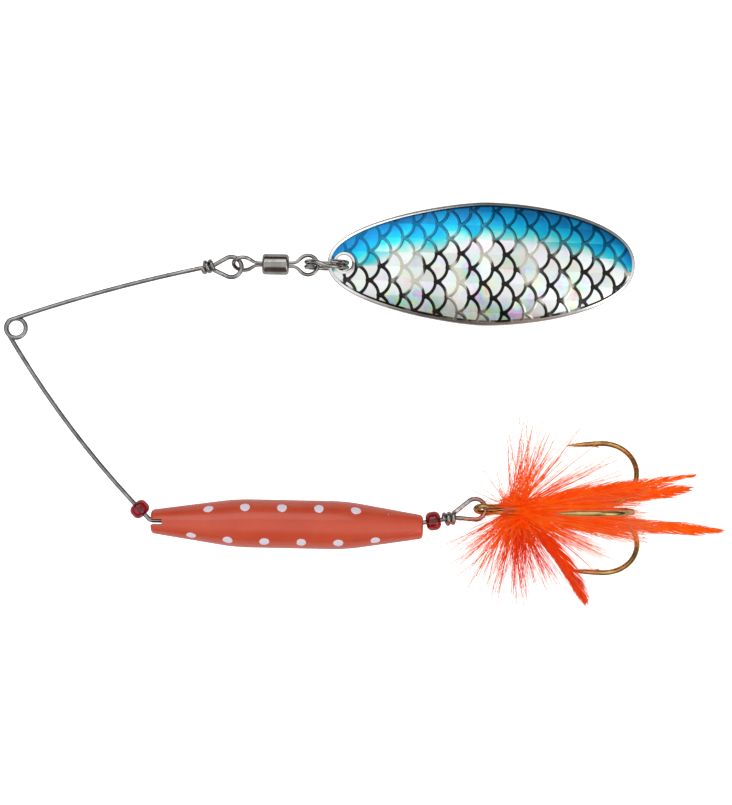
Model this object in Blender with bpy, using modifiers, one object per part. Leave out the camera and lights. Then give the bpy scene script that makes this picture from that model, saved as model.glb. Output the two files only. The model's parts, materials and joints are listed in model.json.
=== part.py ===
"""A V-wire spinner lure: bent wire frame, lead body, swivelled blade and dressed treble hook.

Metres, +Z up.  The body's axis lies along X, the line tie is at -X and the hook at +X.
The lure lies on its side on a flat surface, and the origin is under the middle of its box.
"""
import math

import bmesh
import bpy
from mathutils import Euler, Matrix, Vector

MM = 0.001

# Wire frame
WIRE_D = 0.87 * MM
ARM_END_HEIGHT = 1.705 * MM           # of the upper arm's loop over the surface the lure lies on
COIL_CENTRE = Vector((-52.6, 36.3)) * MM
COIL_R = 1.86 * MM                    # to the middle of the wire
COIL_START = 128.0                    # degrees, where the upper arm meets the coil
COIL_SWEEP = 360.0 + 85.0
UPPER_ARM_END = Vector((-17.7, 48.45)) * MM
UPPER_ARM_BOW = 0.6 * MM
LOWER_ARM_END_GAP = 0.8 * MM          # from the body's front end
LOWER_ARM_END_Y = 0.85 * MM
LOWER_ARM_BOW = -1.3 * MM
WRAP_TURNS = 2.25
WRAP_PITCH = 0.95 * MM
WRAP_GAP = 0.05 * MM
WRAP_STEPS = 12                       # points in each turn
LOOP_R = 1.95 * MM                    # to the middle of the wire
UPPER_LOOP_REACH = 3.3 * MM           # from the last wrap to the loop's centre
REAR_LOOP_REACH = 4.1 * MM
LOOP_OFFSET = 1.0 * MM                # the loop's centre from the line of the wire
REAR_KINK = math.radians(10.0)
REAR_KINK_INSIDE = 3.6 * MM           # from the body's rear end
REAR_NECK_GAP = 0.08 * MM             # between the rear bead and the first wrap

# Lead body
BODY_LENGTH = 51.6 * MM
BODY_D = 9.2 * MM
BODY_END_D = 4.7 * MM
BODY_CORNER_R = 0.8 * MM
FRONT_TAPER = 16.1 * MM
REAR_TAPER = 14.6 * MM
SHOULDER_BLEND = 3.0 * MM
BODY_BORE_D = 1.6 * MM
BODY_FLARE_D = 2.7 * MM
SLOT_DEPTH = 2.2 * MM
SLOT_WIDTH = 1.15 * MM
WIRE_IN_BODY_Y = 0.2 * MM             # the wire rests against one side of the bore

# Glass beads
BEAD_D = 3.6 * MM
BEAD_LENGTH = 2.8 * MM
BEAD_BORE_D = 1.1 * MM
BEAD_CORNER_R = 1.1 * MM
BEAD_CHAMFER = 0.1 * MM
FRONT_BEAD_RISE = 2.0 * MM            # along the arm from its bend
REAR_BEAD_GAP = 0.55 * MM             # from the body's rear end

# Barrel swivel
SWIVEL_ACROSS = 0.666 * MM            # the swivel's line from the middle of the wire's loop
BARREL_LENGTH = 5.05 * MM
BARREL_D = 4.0 * MM
BARREL_CORNER_R = 0.57 * MM
BARREL_WALL = 0.55 * MM
FRONT_EYE_SET = 0.33 * MM             # from the loop's wire to the eye's centre
SWIVEL_WIRE_D = 0.76 * MM
SWIVEL_LEG_D = 0.60 * MM
SWIVEL_EYE_R = 1.85 * MM              # to the middle of the wire
SWIVEL_EYE_REACH = 3.65 * MM          # from the barrel's end to the eye's centre
SWIVEL_NECK = 1.3 * MM
SWIVEL_HEAD_D = 2.1 * MM
SWIVEL_HEAD_LENGTH = 1.1 * MM
SWIVEL_LEG_GAP = 0.03 * MM            # from each leg to the swivel's axis
SWIVEL_CLEARANCE = 0.09 * MM
FRONT_EYE_ROLL = math.radians(52.0)
FLOOR_CLEARANCE = 0.03 * MM

# Split ring
RING_WIRE_D = 0.84 * MM
RING_OD = 8.6 * MM
RING_TURN_GAP = 0.08 * MM
RING_EYE_GAP = 0.175 * MM             # from the ring's wire to the swivel's eye
RING_JOGGLE_AT = 105.0                # degrees
RING_END_GAP = 24.0
RING_STEPS = 56

# Blade
BLADE_LENGTH = 58.5 * MM
BLADE_WIDTH = 23.3 * MM
BLADE_THICKNESS = 0.6 * MM
BLADE_DISH = 3.1 * MM
BLADE_HOLE_D = 3.3 * MM
BLADE_HOLE_INSET = 2.9 * MM           # from the tip to the hole's centre
BLADE_HOLE_AHEAD = 0.05 * MM          # the hole's centre past the middle of the ring's wire
BLADE_ACROSS = 0.55 * MM              # the hole's centre from the swivel's line
BLADE_OVAL = (1.6, 0.45)              # powers of the outline
BLADE_TAIL_FULLNESS = 0.085
PUNCH_LENGTH = 8.0 * MM
BLADE_TIP_LIFT = 1.95 * MM
BLADE_YAW = math.radians(0.9)
FOIL_THICKNESS = 0.12 * MM
FOIL_GAP = 0.05 * MM
FOIL_INSET = 0.45 * MM

# Treble hook
HOOK_WIRE_D = 1.03 * MM
HOOK_LENGTH = 31.2 * MM
HOOK_REACH = 14.1 * MM                # from the shank's axis to the middle of a point
HOOK_POINT_LENGTH = 6.4 * MM
HOOK_EYE_OD = 4.2 * MM
HOOK_EYE_ROLL = math.radians(25.0)
HOOK_PITCH = math.radians(11.2)
HOOK_YAW = math.radians(1.5)
HOOK_WIRE_GAP = 0.05 * MM
POINT_TILT = math.radians(4.0)
BARB_FROM_TIP = 4.7 * MM
BARB_LENGTH = 2.1 * MM
BARB_LIFT = math.radians(24.0)

# Dressing
THREAD_FROM_EYE = 1.8 * MM
THREAD_LENGTH = 4.6 * MM
THREAD_WALL = 0.45 * MM
FEATHER_THICKNESS = 0.4 * MM
FEATHER_GAP = 0.12 * MM
FEATHER_ROOT_WIDTH = 0.28             # share of the full width
FEATHER_TIP_START = 0.7
FEATHER_TIP_TAPER = 0.93

# Places that follow from the sizes
HALF_BODY = BODY_LENGTH / 2
LOWER_ARM_END = Vector((-HALF_BODY - LOWER_ARM_END_GAP, LOWER_ARM_END_Y))
REAR_KINK_X = HALF_BODY - REAR_KINK_INSIDE
REAR_BEAD_X = HALF_BODY + REAR_BEAD_GAP + BEAD_LENGTH / 2
REAR_NECK_X = REAR_BEAD_X + BEAD_LENGTH / 2 + REAR_NECK_GAP + WRAP_TURNS * WRAP_PITCH + WIRE_D / 2
RING_R = (RING_OD - RING_WIRE_D) / 2
THREAD_START = HOOK_EYE_OD / 2 + THREAD_FROM_EYE

parts = []


# ---------------------------------------------------------------- scene helpers
def clear_scene():
    for old in list(bpy.data.objects):
        bpy.data.objects.remove(old, do_unlink=True)


def collection(name):
    made = bpy.data.collections.new(name)
    bpy.context.scene.collection.children.link(made)
    return made


def material(name, colour, roughness, metallic=0.0):
    made = bpy.data.materials.new(name)
    made.use_nodes = True
    shader = made.node_tree.nodes["Principled BSDF"]
    shader.inputs["Base Color"].default_value = (*colour, 1.0)
    shader.inputs["Roughness"].default_value = roughness
    shader.inputs["Metallic"].default_value = metallic
    return made


def pivot(name, parent, location=(0, 0, 0), rotation=(0, 0, 0)):
    made = bpy.data.objects.new(name, None)
    made.empty_display_size = 2 * MM
    made.location = location
    made.rotation_euler = rotation
    made.parent = parent
    lure.objects.link(made)
    return made


def add_part(name, data, look, parent, rotation=(0, 0, 0), location=(0, 0, 0)):
    made = bpy.data.objects.new(name, data)
    made.parent = parent
    made.location = location
    made.rotation_euler = rotation
    data.materials.append(look)
    lure.objects.link(made)
    parts.append(made)
    return made


def tube_data(name, points, wire_d, widths=None):
    """A closed tube along the points; widths scale its radius at each point."""
    data = bpy.data.curves.new(name, "CURVE")
    data.dimensions = "3D"
    data.bevel_depth = wire_d / 2
    data.bevel_resolution = 2
    data.use_fill_caps = True
    data.twist_mode = "MINIMUM"
    spline = data.splines.new("POLY")
    spline.points.add(len(points) - 1)
    for index, point in enumerate(points):
        spline.points[index].co = (*point, 1.0)
        if widths:
            spline.points[index].radius = widths[index]
    return data


def solid_from_curve(name, data):
    """The curve's tube as a mesh with its caps welded, so that it can be joined to others."""
    holder = bpy.data.objects.new(name + "_path", data)
    bpy.context.scene.collection.objects.link(holder)
    bpy.context.view_layer.update()
    evaluated = holder.evaluated_get(bpy.context.evaluated_depsgraph_get())
    mesh = bpy.data.meshes.new_from_object(evaluated)
    bpy.data.objects.remove(holder, do_unlink=True)
    form = bmesh.new()
    form.from_mesh(mesh)
    bmesh.ops.remove_doubles(form, verts=form.verts, dist=0.001 * MM)
    bmesh.ops.recalc_face_normals(form, faces=form.faces)
    form.to_mesh(mesh)
    form.free()
    return mesh


def cutter(name, data, parent, location=(0, 0, 0), rotation=(0, 0, 0)):
    made = bpy.data.objects.new(name, data)
    made.parent = parent
    made.location = location
    made.rotation_euler = rotation
    made.hide_render = True
    made.display_type = "WIRE"
    cutters.objects.link(made)
    return made


def combine(target, other, operation):
    step = target.modifiers.new(other.name, "BOOLEAN")
    step.operation = operation
    step.solver = "EXACT"
    step.object = other


def cylinder_mesh(name, radius, length, sides=32, tip_radius=None):
    form = bmesh.new()
    far = radius if tip_radius is None else tip_radius
    bmesh.ops.create_cone(form, cap_ends=True, segments=sides, radius1=radius, radius2=far, depth=length)
    mesh = bpy.data.meshes.new(name)
    form.to_mesh(mesh)
    form.free()
    return mesh


def turned_mesh(name, profile):
    """An outline in radius and height, as a closed line to be turned about Z."""
    mesh = bpy.data.meshes.new(name)
    count = len(profile)
    edges = [(index, (index + 1) % count) for index in range(count)]
    mesh.from_pydata([(radius, 0, height) for radius, height in profile], edges, [])
    return mesh


def turn(target, steps):
    screw = target.modifiers.new("turn", "SCREW")
    screw.axis = "Z"
    screw.angle = math.tau
    screw.steps = steps
    screw.render_steps = steps
    screw.use_merge_vertices = True
    screw.merge_threshold = 0.0001 * MM
    screw.use_smooth_shade = True


def arc(centre, radius, start, end, count):
    """Points round a circle in a plane, from one angle to another in degrees, ends included."""
    angles = [math.radians(start + (end - start) * step / (count - 1)) for step in range(count)]
    return [Vector((centre[0] + radius * math.cos(a), centre[1] + radius * math.sin(a))) for a in angles]


def bowed(start, end, bow, count):
    """Points on a shallow arch between two points, both left out."""
    along = end - start
    side = Vector((-along.y, along.x)).normalized()
    steps = [step / (count + 1) for step in range(1, count + 1)]
    return [start + along * t + side * bow * 4 * t * (1 - t) for t in steps]


def tangent_angle(centre, radius, point, side):
    """The angle, in degrees, at which a line from the point touches the circle on one side."""
    away = Vector(point) - Vector(centre)
    spread = math.degrees(math.acos(radius / away.length))
    return math.degrees(math.atan2(away.y, away.x)) + side * spread


# ---------------------------------------------------------------- wire frame
def line_point(start, heading, distance):
    return start + Vector((math.cos(heading), math.sin(heading))) * distance


def loop_centre(neck, heading, side, reach):
    return neck + Matrix.Rotation(heading, 2) @ Vector((reach, side * LOOP_OFFSET))


def wrapped_loop(neck, heading, side, reach):
    """Wire from the last wrap round the loop and back, then wrapped round itself."""
    wrap_r = WIRE_D + WRAP_GAP
    centre = Vector((reach, side * LOOP_OFFSET))
    leave = tangent_angle(centre, LOOP_R, (0, 0), side)
    back = tangent_angle(centre, LOOP_R, (0, side * wrap_r), -side) + side * 360
    path = [Vector((0, 0, 0))]
    path += [point.to_3d() for point in arc(centre, LOOP_R, leave, back, 16)]
    for step in range(round(WRAP_TURNS * WRAP_STEPS) + 1):
        angle = math.tau * step / WRAP_STEPS
        along = -WRAP_PITCH * step / WRAP_STEPS
        path.append(Vector((along, side * wrap_r * math.cos(angle), wrap_r * math.sin(angle))))
    swing = Matrix.Rotation(heading, 3, "Z")
    return [swing @ point + neck.to_3d() for point in path]


def arm_heading(last, end):
    return math.atan2(end.y - last.y, end.x - last.x)


upper_arm_start = arc(COIL_CENTRE, COIL_R, COIL_START, 0, 2)[0]
upper_arm = bowed(upper_arm_start, UPPER_ARM_END, UPPER_ARM_BOW, 9)
upper_heading = arm_heading(upper_arm[-1], UPPER_ARM_END)
upper_neck = line_point(UPPER_ARM_END, upper_heading, WRAP_TURNS * WRAP_PITCH + WIRE_D / 2)
upper_loop = loop_centre(upper_neck, upper_heading, -1, UPPER_LOOP_REACH)
coil_end = arc(COIL_CENTRE, COIL_R, COIL_START + COIL_SWEEP, 0, 2)[0]
lower_arm = bowed(coil_end, LOWER_ARM_END, LOWER_ARM_BOW, 9)
lower_heading = arm_heading(lower_arm[-1], LOWER_ARM_END)
rear_rise = (REAR_NECK_X - REAR_KINK_X) * math.tan(REAR_KINK)
rear_neck = Vector((REAR_NECK_X, WIRE_IN_BODY_Y + rear_rise))
rear_loop = loop_centre(rear_neck, REAR_KINK, 1, REAR_LOOP_REACH)


def wire_path():
    """The whole wire, from one cut end to the other, in the plane of the arms."""
    path = list(reversed(wrapped_loop(upper_neck, upper_heading, -1, UPPER_LOOP_REACH)))
    path.append(UPPER_ARM_END.to_3d())
    path += [point.to_3d() for point in reversed(upper_arm)]
    turns = arc(COIL_CENTRE, COIL_R, COIL_START, COIL_START + COIL_SWEEP, 27)
    stack = WIRE_D + WRAP_GAP
    path += [point.to_3d() + Vector((0, 0, -stack * i / (len(turns) - 1))) for i, point in enumerate(turns)]
    path += [p.to_3d() + Vector((0, 0, stack * min(i / 6 - 1, 0))) for i, p in enumerate(lower_arm)]
    path += [LOWER_ARM_END.to_3d()] + [point.to_3d() for point in front_bend()]
    path.append(Vector((REAR_KINK_X, WIRE_IN_BODY_Y, 0)))
    path += wrapped_loop(rear_neck, REAR_KINK, 1, REAR_LOOP_REACH)
    return path


def front_bend():
    """The bend that brings the lower arm in line with the body."""
    drop = LOWER_ARM_END.y - WIRE_IN_BODY_Y
    corner = Vector((LOWER_ARM_END.x + drop / math.tan(-lower_heading), WIRE_IN_BODY_Y))
    inward = (LOWER_ARM_END - corner) * 0.5
    onward = Vector((inward.length, 0))
    shares = (0.0, 0.25, 0.5, 0.75, 1.0)
    return [corner + inward * (1 - t) ** 2 + onward * t ** 2 for t in shares]


def make_wire_form():
    data = tube_data("wire_form", wire_path(), WIRE_D)
    add_part("wire_form", data, stainless, frame)


# ---------------------------------------------------------------- body and beads
def make_body():
    """Turned about the body's axis, its rear end at the top of the profile."""
    half = HALF_BODY
    end_r = BODY_END_D / 2
    full_r = BODY_D / 2
    corner = BODY_CORNER_R
    profile = [Vector((BODY_FLARE_D / 2, half))]
    profile += arc((end_r - corner, half - corner), corner, 90, 10, 5)
    profile += shoulder(end_r, half - corner, full_r, half - REAR_TAPER, False)
    profile += shoulder(end_r, corner - half, full_r, FRONT_TAPER - half, True)
    profile += arc((end_r - corner, corner - half), corner, -10, -90, 5)
    profile += [Vector((BODY_BORE_D / 2, -half)), Vector((BODY_BORE_D / 2, REAR_KINK_X))]
    body = add_part("body_weight", turned_mesh("body_weight", profile), red_paint, body_axis, TO_X)
    turn(body, 32)
    slot = cutter("front_slot", cube_mesh("front_slot"), body_axis, (-half, 0, 0))
    slot.scale = (2 * SLOT_DEPTH, SLOT_WIDTH, 2 * BODY_D)
    combine(body, slot, "DIFFERENCE")


def shoulder(end_r, end_z, full_r, full_z, from_middle):
    """A straight taper that runs into the full diameter through a soft shoulder."""
    slope = (full_r - end_r) / abs(full_z - end_z)
    outward = math.copysign(1, end_z)
    blend = SHOULDER_BLEND
    low = Vector((full_r - slope * blend, full_z + outward * blend))
    knee = Vector((full_r, full_z))
    high = Vector((full_r, full_z - outward * blend))
    shares = [step / 5 for step in range(6)]
    points = [low * (1 - t) ** 2 + knee * 2 * t * (1 - t) + high * t ** 2 for t in shares]
    return list(reversed(points)) if from_middle else points


def cube_mesh(name):
    form = bmesh.new()
    bmesh.ops.create_cube(form, size=1.0)
    mesh = bpy.data.meshes.new(name)
    form.to_mesh(mesh)
    form.free()
    return mesh


def make_bead(name, parent):
    half = BEAD_LENGTH / 2
    corner = BEAD_CORNER_R
    radius = BEAD_D / 2
    profile = arc((radius - corner, half - corner), corner, 90, 0, 6)
    profile += arc((radius - corner, corner - half), corner, 0, -90, 6)
    bore_half = half - BEAD_CHAMFER
    profile += [Vector((BEAD_BORE_D / 2, -bore_half)), Vector((BEAD_BORE_D / 2, bore_half))]
    bead = add_part(name, turned_mesh(name, profile), red_glass, parent, TO_X)
    turn(bead, 24)


# ---------------------------------------------------------------- swivel and split ring
def make_barrel():
    half = BARREL_LENGTH / 2
    radius = BARREL_D / 2
    corner = BARREL_CORNER_R
    hole = swivel_hole_r()
    inner = radius - BARREL_WALL
    profile = [Vector((hole, half))]
    profile += arc((radius - corner, half - corner), corner, 90, 0, 5)
    profile += arc((radius - corner, corner - half), corner, 0, -90, 5)
    profile += [Vector((hole, -half)), Vector((hole, BARREL_WALL - half))]
    profile += [Vector((inner, BARREL_WALL - half)), Vector((inner, half - BARREL_WALL))]
    profile += [Vector((hole, half - BARREL_WALL))]
    barrel = add_part("swivel_barrel", turned_mesh("swivel_barrel", profile), nickel, barrel_pivot, TO_X)
    turn(barrel, 28)


def swivel_hole_r():
    return SWIVEL_LEG_D + SWIVEL_CLEARANCE + SWIVEL_LEG_GAP


def make_swivel_eye(name, parent, rotation):
    """An eye, its two legs and the head that turns inside the barrel; +X points away from it."""
    leg = SWIVEL_LEG_D / 2 + SWIVEL_LEG_GAP
    centre = Vector((SWIVEL_EYE_REACH, 0))
    neck = Vector((SWIVEL_NECK, leg))
    leave = tangent_angle(centre, SWIVEL_EYE_R, neck, -1)
    leave %= 360
    head_middle = -BARREL_WALL - SWIVEL_CLEARANCE - SWIVEL_HEAD_LENGTH / 2
    upper = [Vector((head_middle, leg)), Vector((0, leg)), neck]
    ring = arc(centre, SWIVEL_EYE_R, leave, -leave, 21)
    lower = [Vector((point.x, -point.y)) for point in reversed(upper)]
    path = [point.to_3d() for point in upper + ring + lower]
    leg_share = SWIVEL_LEG_D / SWIVEL_WIRE_D
    widths = [leg_share] * 3 + [1.0] * len(ring) + [leg_share] * 3
    mesh = solid_from_curve(name, tube_data(name, path, SWIVEL_WIRE_D, widths))
    eye = add_part(name, mesh, nickel, parent, rotation)
    head_mesh = cylinder_mesh(name + "_head", SWIVEL_HEAD_D / 2, SWIVEL_HEAD_LENGTH, 20)
    head = cutter(name + "_head", head_mesh, parent)
    into_barrel = Matrix.Translation((head_middle, 0, 0)) @ TO_X.to_matrix().to_4x4()
    head.matrix_local = rotation.to_matrix().to_4x4() @ into_barrel
    combine(eye, head, "UNION")


def make_split_ring():
    """Two turns side by side with one joggle between them, standing on edge."""
    half_step = (RING_WIRE_D + RING_TURN_GAP) / 2
    first = RING_JOGGLE_AT + RING_END_GAP
    sweep = 720.0 - 2 * RING_END_GAP
    path = []
    for step in range(RING_STEPS + 1):
        turned = first + sweep * step / RING_STEPS
        past_joggle = turned - RING_JOGGLE_AT - 360 + RING_END_GAP
        share = min(max(past_joggle / (2 * RING_END_GAP), 0.0), 1.0)
        side = half_step * (2 * (3 * share ** 2 - 2 * share ** 3) - 1)
        angle = math.radians(turned)
        path.append(Vector((RING_R * math.cos(angle), side, RING_R * math.sin(angle))))
    add_part("split_ring", tube_data("split_ring", path, RING_WIRE_D), nickel, ring_pivot,
             location=RING_CENTRE - RING_HINGE)


# ---------------------------------------------------------------- blade
def blade_half_width(share):
    """Half the blade's width at a place from -1 at the hole's end to 1 at the tail."""
    along_power, across_power = BLADE_OVAL
    oval = (1 - abs(share) ** along_power) ** across_power
    return BLADE_WIDTH / 2 * oval * (1 + BLADE_TAIL_FULLNESS * share)


def dished_sheet(name, inset, lift, look, parent, thickness, hole_d):
    """A sheet that follows the blade, hollow side down, its hole at the parent's origin."""
    form = bmesh.new()
    bmesh.ops.create_grid(form, x_segments=34, y_segments=12, size=1.0)
    half_length = BLADE_LENGTH / 2
    for vertex in form.verts:
        share = math.sin(vertex.co.x * math.pi / 2)
        shrink = 1 - inset / half_length
        across = vertex.co.y * max(blade_half_width(share) - inset * abs(math.cos(share)), 0.0)
        along = share * half_length * shrink
        bowl = 1 - (along / half_length) ** 2 - (across / (BLADE_WIDTH / 2)) ** 2
        height = BLADE_DISH * bowl + lift
        vertex.co = Vector((along + half_length - BLADE_HOLE_INSET, across, height - hole_height()))
    bmesh.ops.remove_doubles(form, verts=form.verts, dist=0.01 * MM)
    bmesh.ops.recalc_face_normals(form, faces=form.faces)
    if sum(face.normal.z for face in form.faces) < 0:
        bmesh.ops.reverse_faces(form, faces=form.faces)
    mesh = bpy.data.meshes.new(name)
    form.to_mesh(mesh)
    form.free()
    sheet = add_part(name, mesh, look, parent)
    skin = sheet.modifiers.new("thickness", "SOLIDIFY")
    skin.thickness = thickness
    skin.offset = -1.0
    punch = cutter(name + "_punch", cylinder_mesh(name + "_punch", hole_d / 2, PUNCH_LENGTH), parent)
    combine(sheet, punch, "DIFFERENCE")
    return sheet


def hole_height():
    """How far the blade's upper face stands over its rim's plane at the hole."""
    along = BLADE_LENGTH / 2 - BLADE_HOLE_INSET
    return BLADE_DISH * (1 - (along / (BLADE_LENGTH / 2)) ** 2)


# ---------------------------------------------------------------- treble hook
def hook_arm(shank, direction, start_x):
    """Shank, round bend and point of one hook, from the shank to its tip, with its widths."""
    depth = HOOK_REACH - shank.dot(direction)
    bend_r = depth / 2
    bend_x = HOOK_LENGTH - HOOK_EYE_OD / 2 - HOOK_WIRE_D / 2 - bend_r
    path = [shank + Vector((start_x, 0, 0)), shank + Vector((bend_x * 0.6, 0, 0))]
    for point in arc((bend_x, bend_r), bend_r, -90, 90 + math.degrees(POINT_TILT), 13):
        path.append(shank + Vector((point.x, 0, 0)) + direction * point.y)
    back = Vector((-math.cos(POINT_TILT), 0, 0)) - direction * math.sin(POINT_TILT)
    root = path[-1]
    for share in (0.3, 0.62, 0.85, 1.0):
        path.append(root + back * HOOK_POINT_LENGTH * share)
    widths = [1.0] * (len(path) - 3) + [0.82, 0.45, 0.08]
    return path, widths


def add_barb(target, path, direction, index):
    """A sliver raised from the inner side of the point, its tip towards the bend."""
    back = (path[-1] - path[-2]).normalized()
    root = path[-1] - back * BARB_FROM_TIP - direction * HOOK_WIRE_D * 0.12
    rise = Matrix.Rotation(BARB_LIFT, 3, back.cross(direction)) @ -back
    if rise.dot(direction) > 0:
        rise = Matrix.Rotation(-BARB_LIFT, 3, back.cross(direction)) @ -back
    mesh = cylinder_mesh("barb", HOOK_WIRE_D * 0.3, BARB_LENGTH, 8, HOOK_WIRE_D * 0.03)
    barb = cutter(target.name + f"_barb_{index}", mesh, target.parent)
    turn_to = rise.to_track_quat("Z", "Y").to_matrix().to_4x4()
    barb.matrix_local = Matrix.Translation(root + rise * BARB_LENGTH / 2) @ turn_to
    combine(target, barb, "UNION")


def make_treble():
    spread = (HOOK_WIRE_D + HOOK_WIRE_GAP) / 2
    right = Vector((0, math.cos(math.radians(-30)), math.sin(math.radians(-30))))
    left = Vector((0, -right.y, right.z))
    eye_r = (HOOK_EYE_OD - HOOK_WIRE_D) / 2
    across = Vector((0, math.sin(HOOK_EYE_ROLL), math.cos(HOOK_EYE_ROLL)))
    eye = [Vector((p.x, 0, 0)) + across * p.y for p in arc((0, 0), eye_r, 48, 312, 17)]
    neck_x = eye_r + HOOK_WIRE_D * 1.5
    first, first_widths = hook_arm(Vector((0, spread, 0)), right, neck_x)
    second, second_widths = hook_arm(Vector((0, -spread, 0)), left, neck_x)
    path = list(reversed(first)) + eye + second
    widths = list(reversed(first_widths)) + [1.0] * len(eye) + second_widths
    mesh = solid_from_curve("hook_pair", tube_data("hook_pair", path, HOOK_WIRE_D, widths))
    pair = add_part("hook_pair", mesh, bronze, treble_pivot, location=HOOK_FROM_HINGE)
    add_barb(pair, shifted(first, HOOK_FROM_HINGE), right, 1)
    add_barb(pair, shifted(second, HOOK_FROM_HINGE), left, 2)
    up = Vector((0, 0, 1))
    groove = math.sqrt((HOOK_WIRE_D + HOOK_WIRE_GAP) ** 2 - spread ** 2)
    third, third_widths = hook_arm(up * groove, up, neck_x + HOOK_WIRE_D)
    mesh = solid_from_curve("hook_third", tube_data("hook_third", third, HOOK_WIRE_D, third_widths))
    single = add_part("hook_third", mesh, bronze, treble_pivot, location=HOOK_FROM_HINGE)
    add_barb(single, shifted(third, HOOK_FROM_HINGE), up, 1)


def shifted(points, offset):
    return [point + offset for point in points]


# ---------------------------------------------------------------- dressing
def thread_radius():
    """The inside of the thread winding, clear of all three shanks."""
    spread = (HOOK_WIRE_D + HOOK_WIRE_GAP) / 2
    return (spread + HOOK_WIRE_D / 2) * 1.22 + HOOK_WIRE_GAP


def thread_middle():
    """The middle of the three shanks, over the axis of the double hook."""
    return Vector((0, 0, HOOK_WIRE_D * 0.33))


def make_thread():
    outer = thread_radius() + THREAD_WALL
    half = THREAD_LENGTH / 2
    corner = THREAD_WALL * 0.4
    profile = arc((outer - corner, half - corner), corner, 90, 0, 4)
    profile += arc((outer - corner, corner - half), corner, 0, -90, 4)
    profile += [Vector((thread_radius(), -half)), Vector((thread_radius(), half))]
    place = HOOK_FROM_HINGE + thread_middle() + Vector((THREAD_START + half, 0, 0))
    thread = add_part("thread_wrap", turned_mesh("thread_wrap", profile), orange_thread, treble_pivot,
                      TO_X, place)
    turn(thread, 24)


# name, angle round the shank, place along the thread, tip, half width in mm, droop in mm, look
# The tip stands from the hook's eye in mm along the hook, and in shares of the hook's reach across it.
FEATHERS = (
    ("tail_feather", 30, 0.60, (46.0, -0.241, -0.043), 1.6, 1.0, "orange"),
    ("upper_feather", 22, 0.80, (38.5, 0.312, -0.071), 1.6, 1.0, "orange"),
    ("thin_feather", 62, 0.60, (40.0, 0.539, 0.213), 0.7, 0.8, "orange"),
    ("lower_feather", -15, 0.35, (20.4, -1.220, -0.397), 1.9, 0.6, "deep"),
    ("hackle_low", -48, 0.15, (11.0, -1.177, -0.312), 3.0, 1.2, "deep"),
    ("hackle_front", 10, 0.05, (0.6, -1.007, -0.184), 2.6, 1.0, "orange"),
    ("hackle_high", 50, 0.02, (8.0, 1.064, 0.241), 2.4, 1.0, "orange"),
    ("hackle_crown", 92, 0.10, (9.5, 0.071, 0.957), 2.6, 0.8, "orange"),
)


def make_feather(name, angle, share, tip, half_width, droop, look):
    """A leaf that leaves the thread and arches out to its tip."""
    side = -1 if tip[1] < 0 else 1
    turned = math.radians(angle)
    out = Vector((0, side * math.cos(turned), math.sin(turned)))
    radius = thread_radius() + THREAD_WALL + FEATHER_GAP + FEATHER_THICKNESS
    root = thread_middle() + out * radius + Vector((THREAD_START + share * THREAD_LENGTH, 0, 0))
    end = Vector((tip[0] * MM, tip[1] * HOOK_REACH, tip[2] * HOOK_REACH))
    reach = end - root
    handle = root + reach * 0.35 + out * droop * MM
    facing = out if abs(reach.normalized().dot(out)) < 0.75 else Vector((-1, 0, 0.4)).normalized()
    form = bmesh.new()
    bmesh.ops.create_grid(form, x_segments=9, y_segments=2, size=0.5)
    for vertex in form.verts:
        t = vertex.co.x + 0.5
        spine = root * (1 - t) ** 2 + handle * 2 * t * (1 - t) + end * t ** 2
        heading = ((handle - root) * (1 - t) + (end - handle) * t).normalized()
        wide = heading.cross(facing).normalized()
        swell = math.sin(math.pi * min(t * 1.25, 1.0) * 0.75 + 0.2)
        width = half_width * MM * (FEATHER_ROOT_WIDTH + (1 - FEATHER_ROOT_WIDTH) * swell)
        width *= 1 - FEATHER_TIP_TAPER * max(t - FEATHER_TIP_START, 0) / (1 - FEATHER_TIP_START)
        vertex.co = spine + wide * width * vertex.co.y * 2
    mesh = bpy.data.meshes.new(name)
    form.to_mesh(mesh)
    form.free()
    colours = {"orange": orange_feather, "deep": deep_feather}
    leaf = add_part(name, mesh, colours[look], treble_pivot, location=HOOK_FROM_HINGE)
    skin = leaf.modifiers.new("thickness", "SOLIDIFY")
    skin.thickness = FEATHER_THICKNESS
    skin.offset = 0.0


# ---------------------------------------------------------------- assembly
clear_scene()
lure = collection("spinner_lure")
cutters = collection("cutters")

stainless = material("stainless_wire", (0.45, 0.44, 0.42), 0.3, 1.0)
nickel = material("black_nickel", (0.42, 0.40, 0.38), 0.22, 1.0)
red_paint = material("salmon_red_paint", (0.60, 0.09, 0.05), 0.25)
red_glass = material("red_glass", (0.40, 0.0, 0.02), 0.08)
blade_steel = material("polished_blade", (0.75, 0.75, 0.74), 0.15, 1.0)
foil_look = material("scale_foil", (0.45, 0.68, 0.80), 0.2, 0.7)
bronze = material("bronze_hook", (0.48, 0.33, 0.12), 0.25, 1.0)
orange_thread = material("orange_thread", (0.85, 0.12, 0.01), 0.6)
orange_feather = material("orange_feather", (1.0, 0.13, 0.01), 0.6)
deep_feather = material("deep_red_feather", (0.62, 0.02, 0.0), 0.6)

TO_X = Euler((0, math.pi / 2, 0))
BODY_HEIGHT = BODY_D / 2
SWIVEL_HEIGHT = BARREL_D / 2 + FLOOR_CLEARANCE
RING_HEIGHT = RING_OD / 2 + FLOOR_CLEARANCE

frame_tilt = math.asin((BODY_HEIGHT - ARM_END_HEIGHT) / upper_loop.y)

base = bpy.data.objects.new("base", None)
lure.objects.link(base)
lure_root = pivot("lure_root", base, (0, 0, BODY_HEIGHT))
frame = pivot("frame_plane", lure_root, rotation=(-frame_tilt, 0, 0))
body_axis = pivot("body_axis", lure_root)

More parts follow.
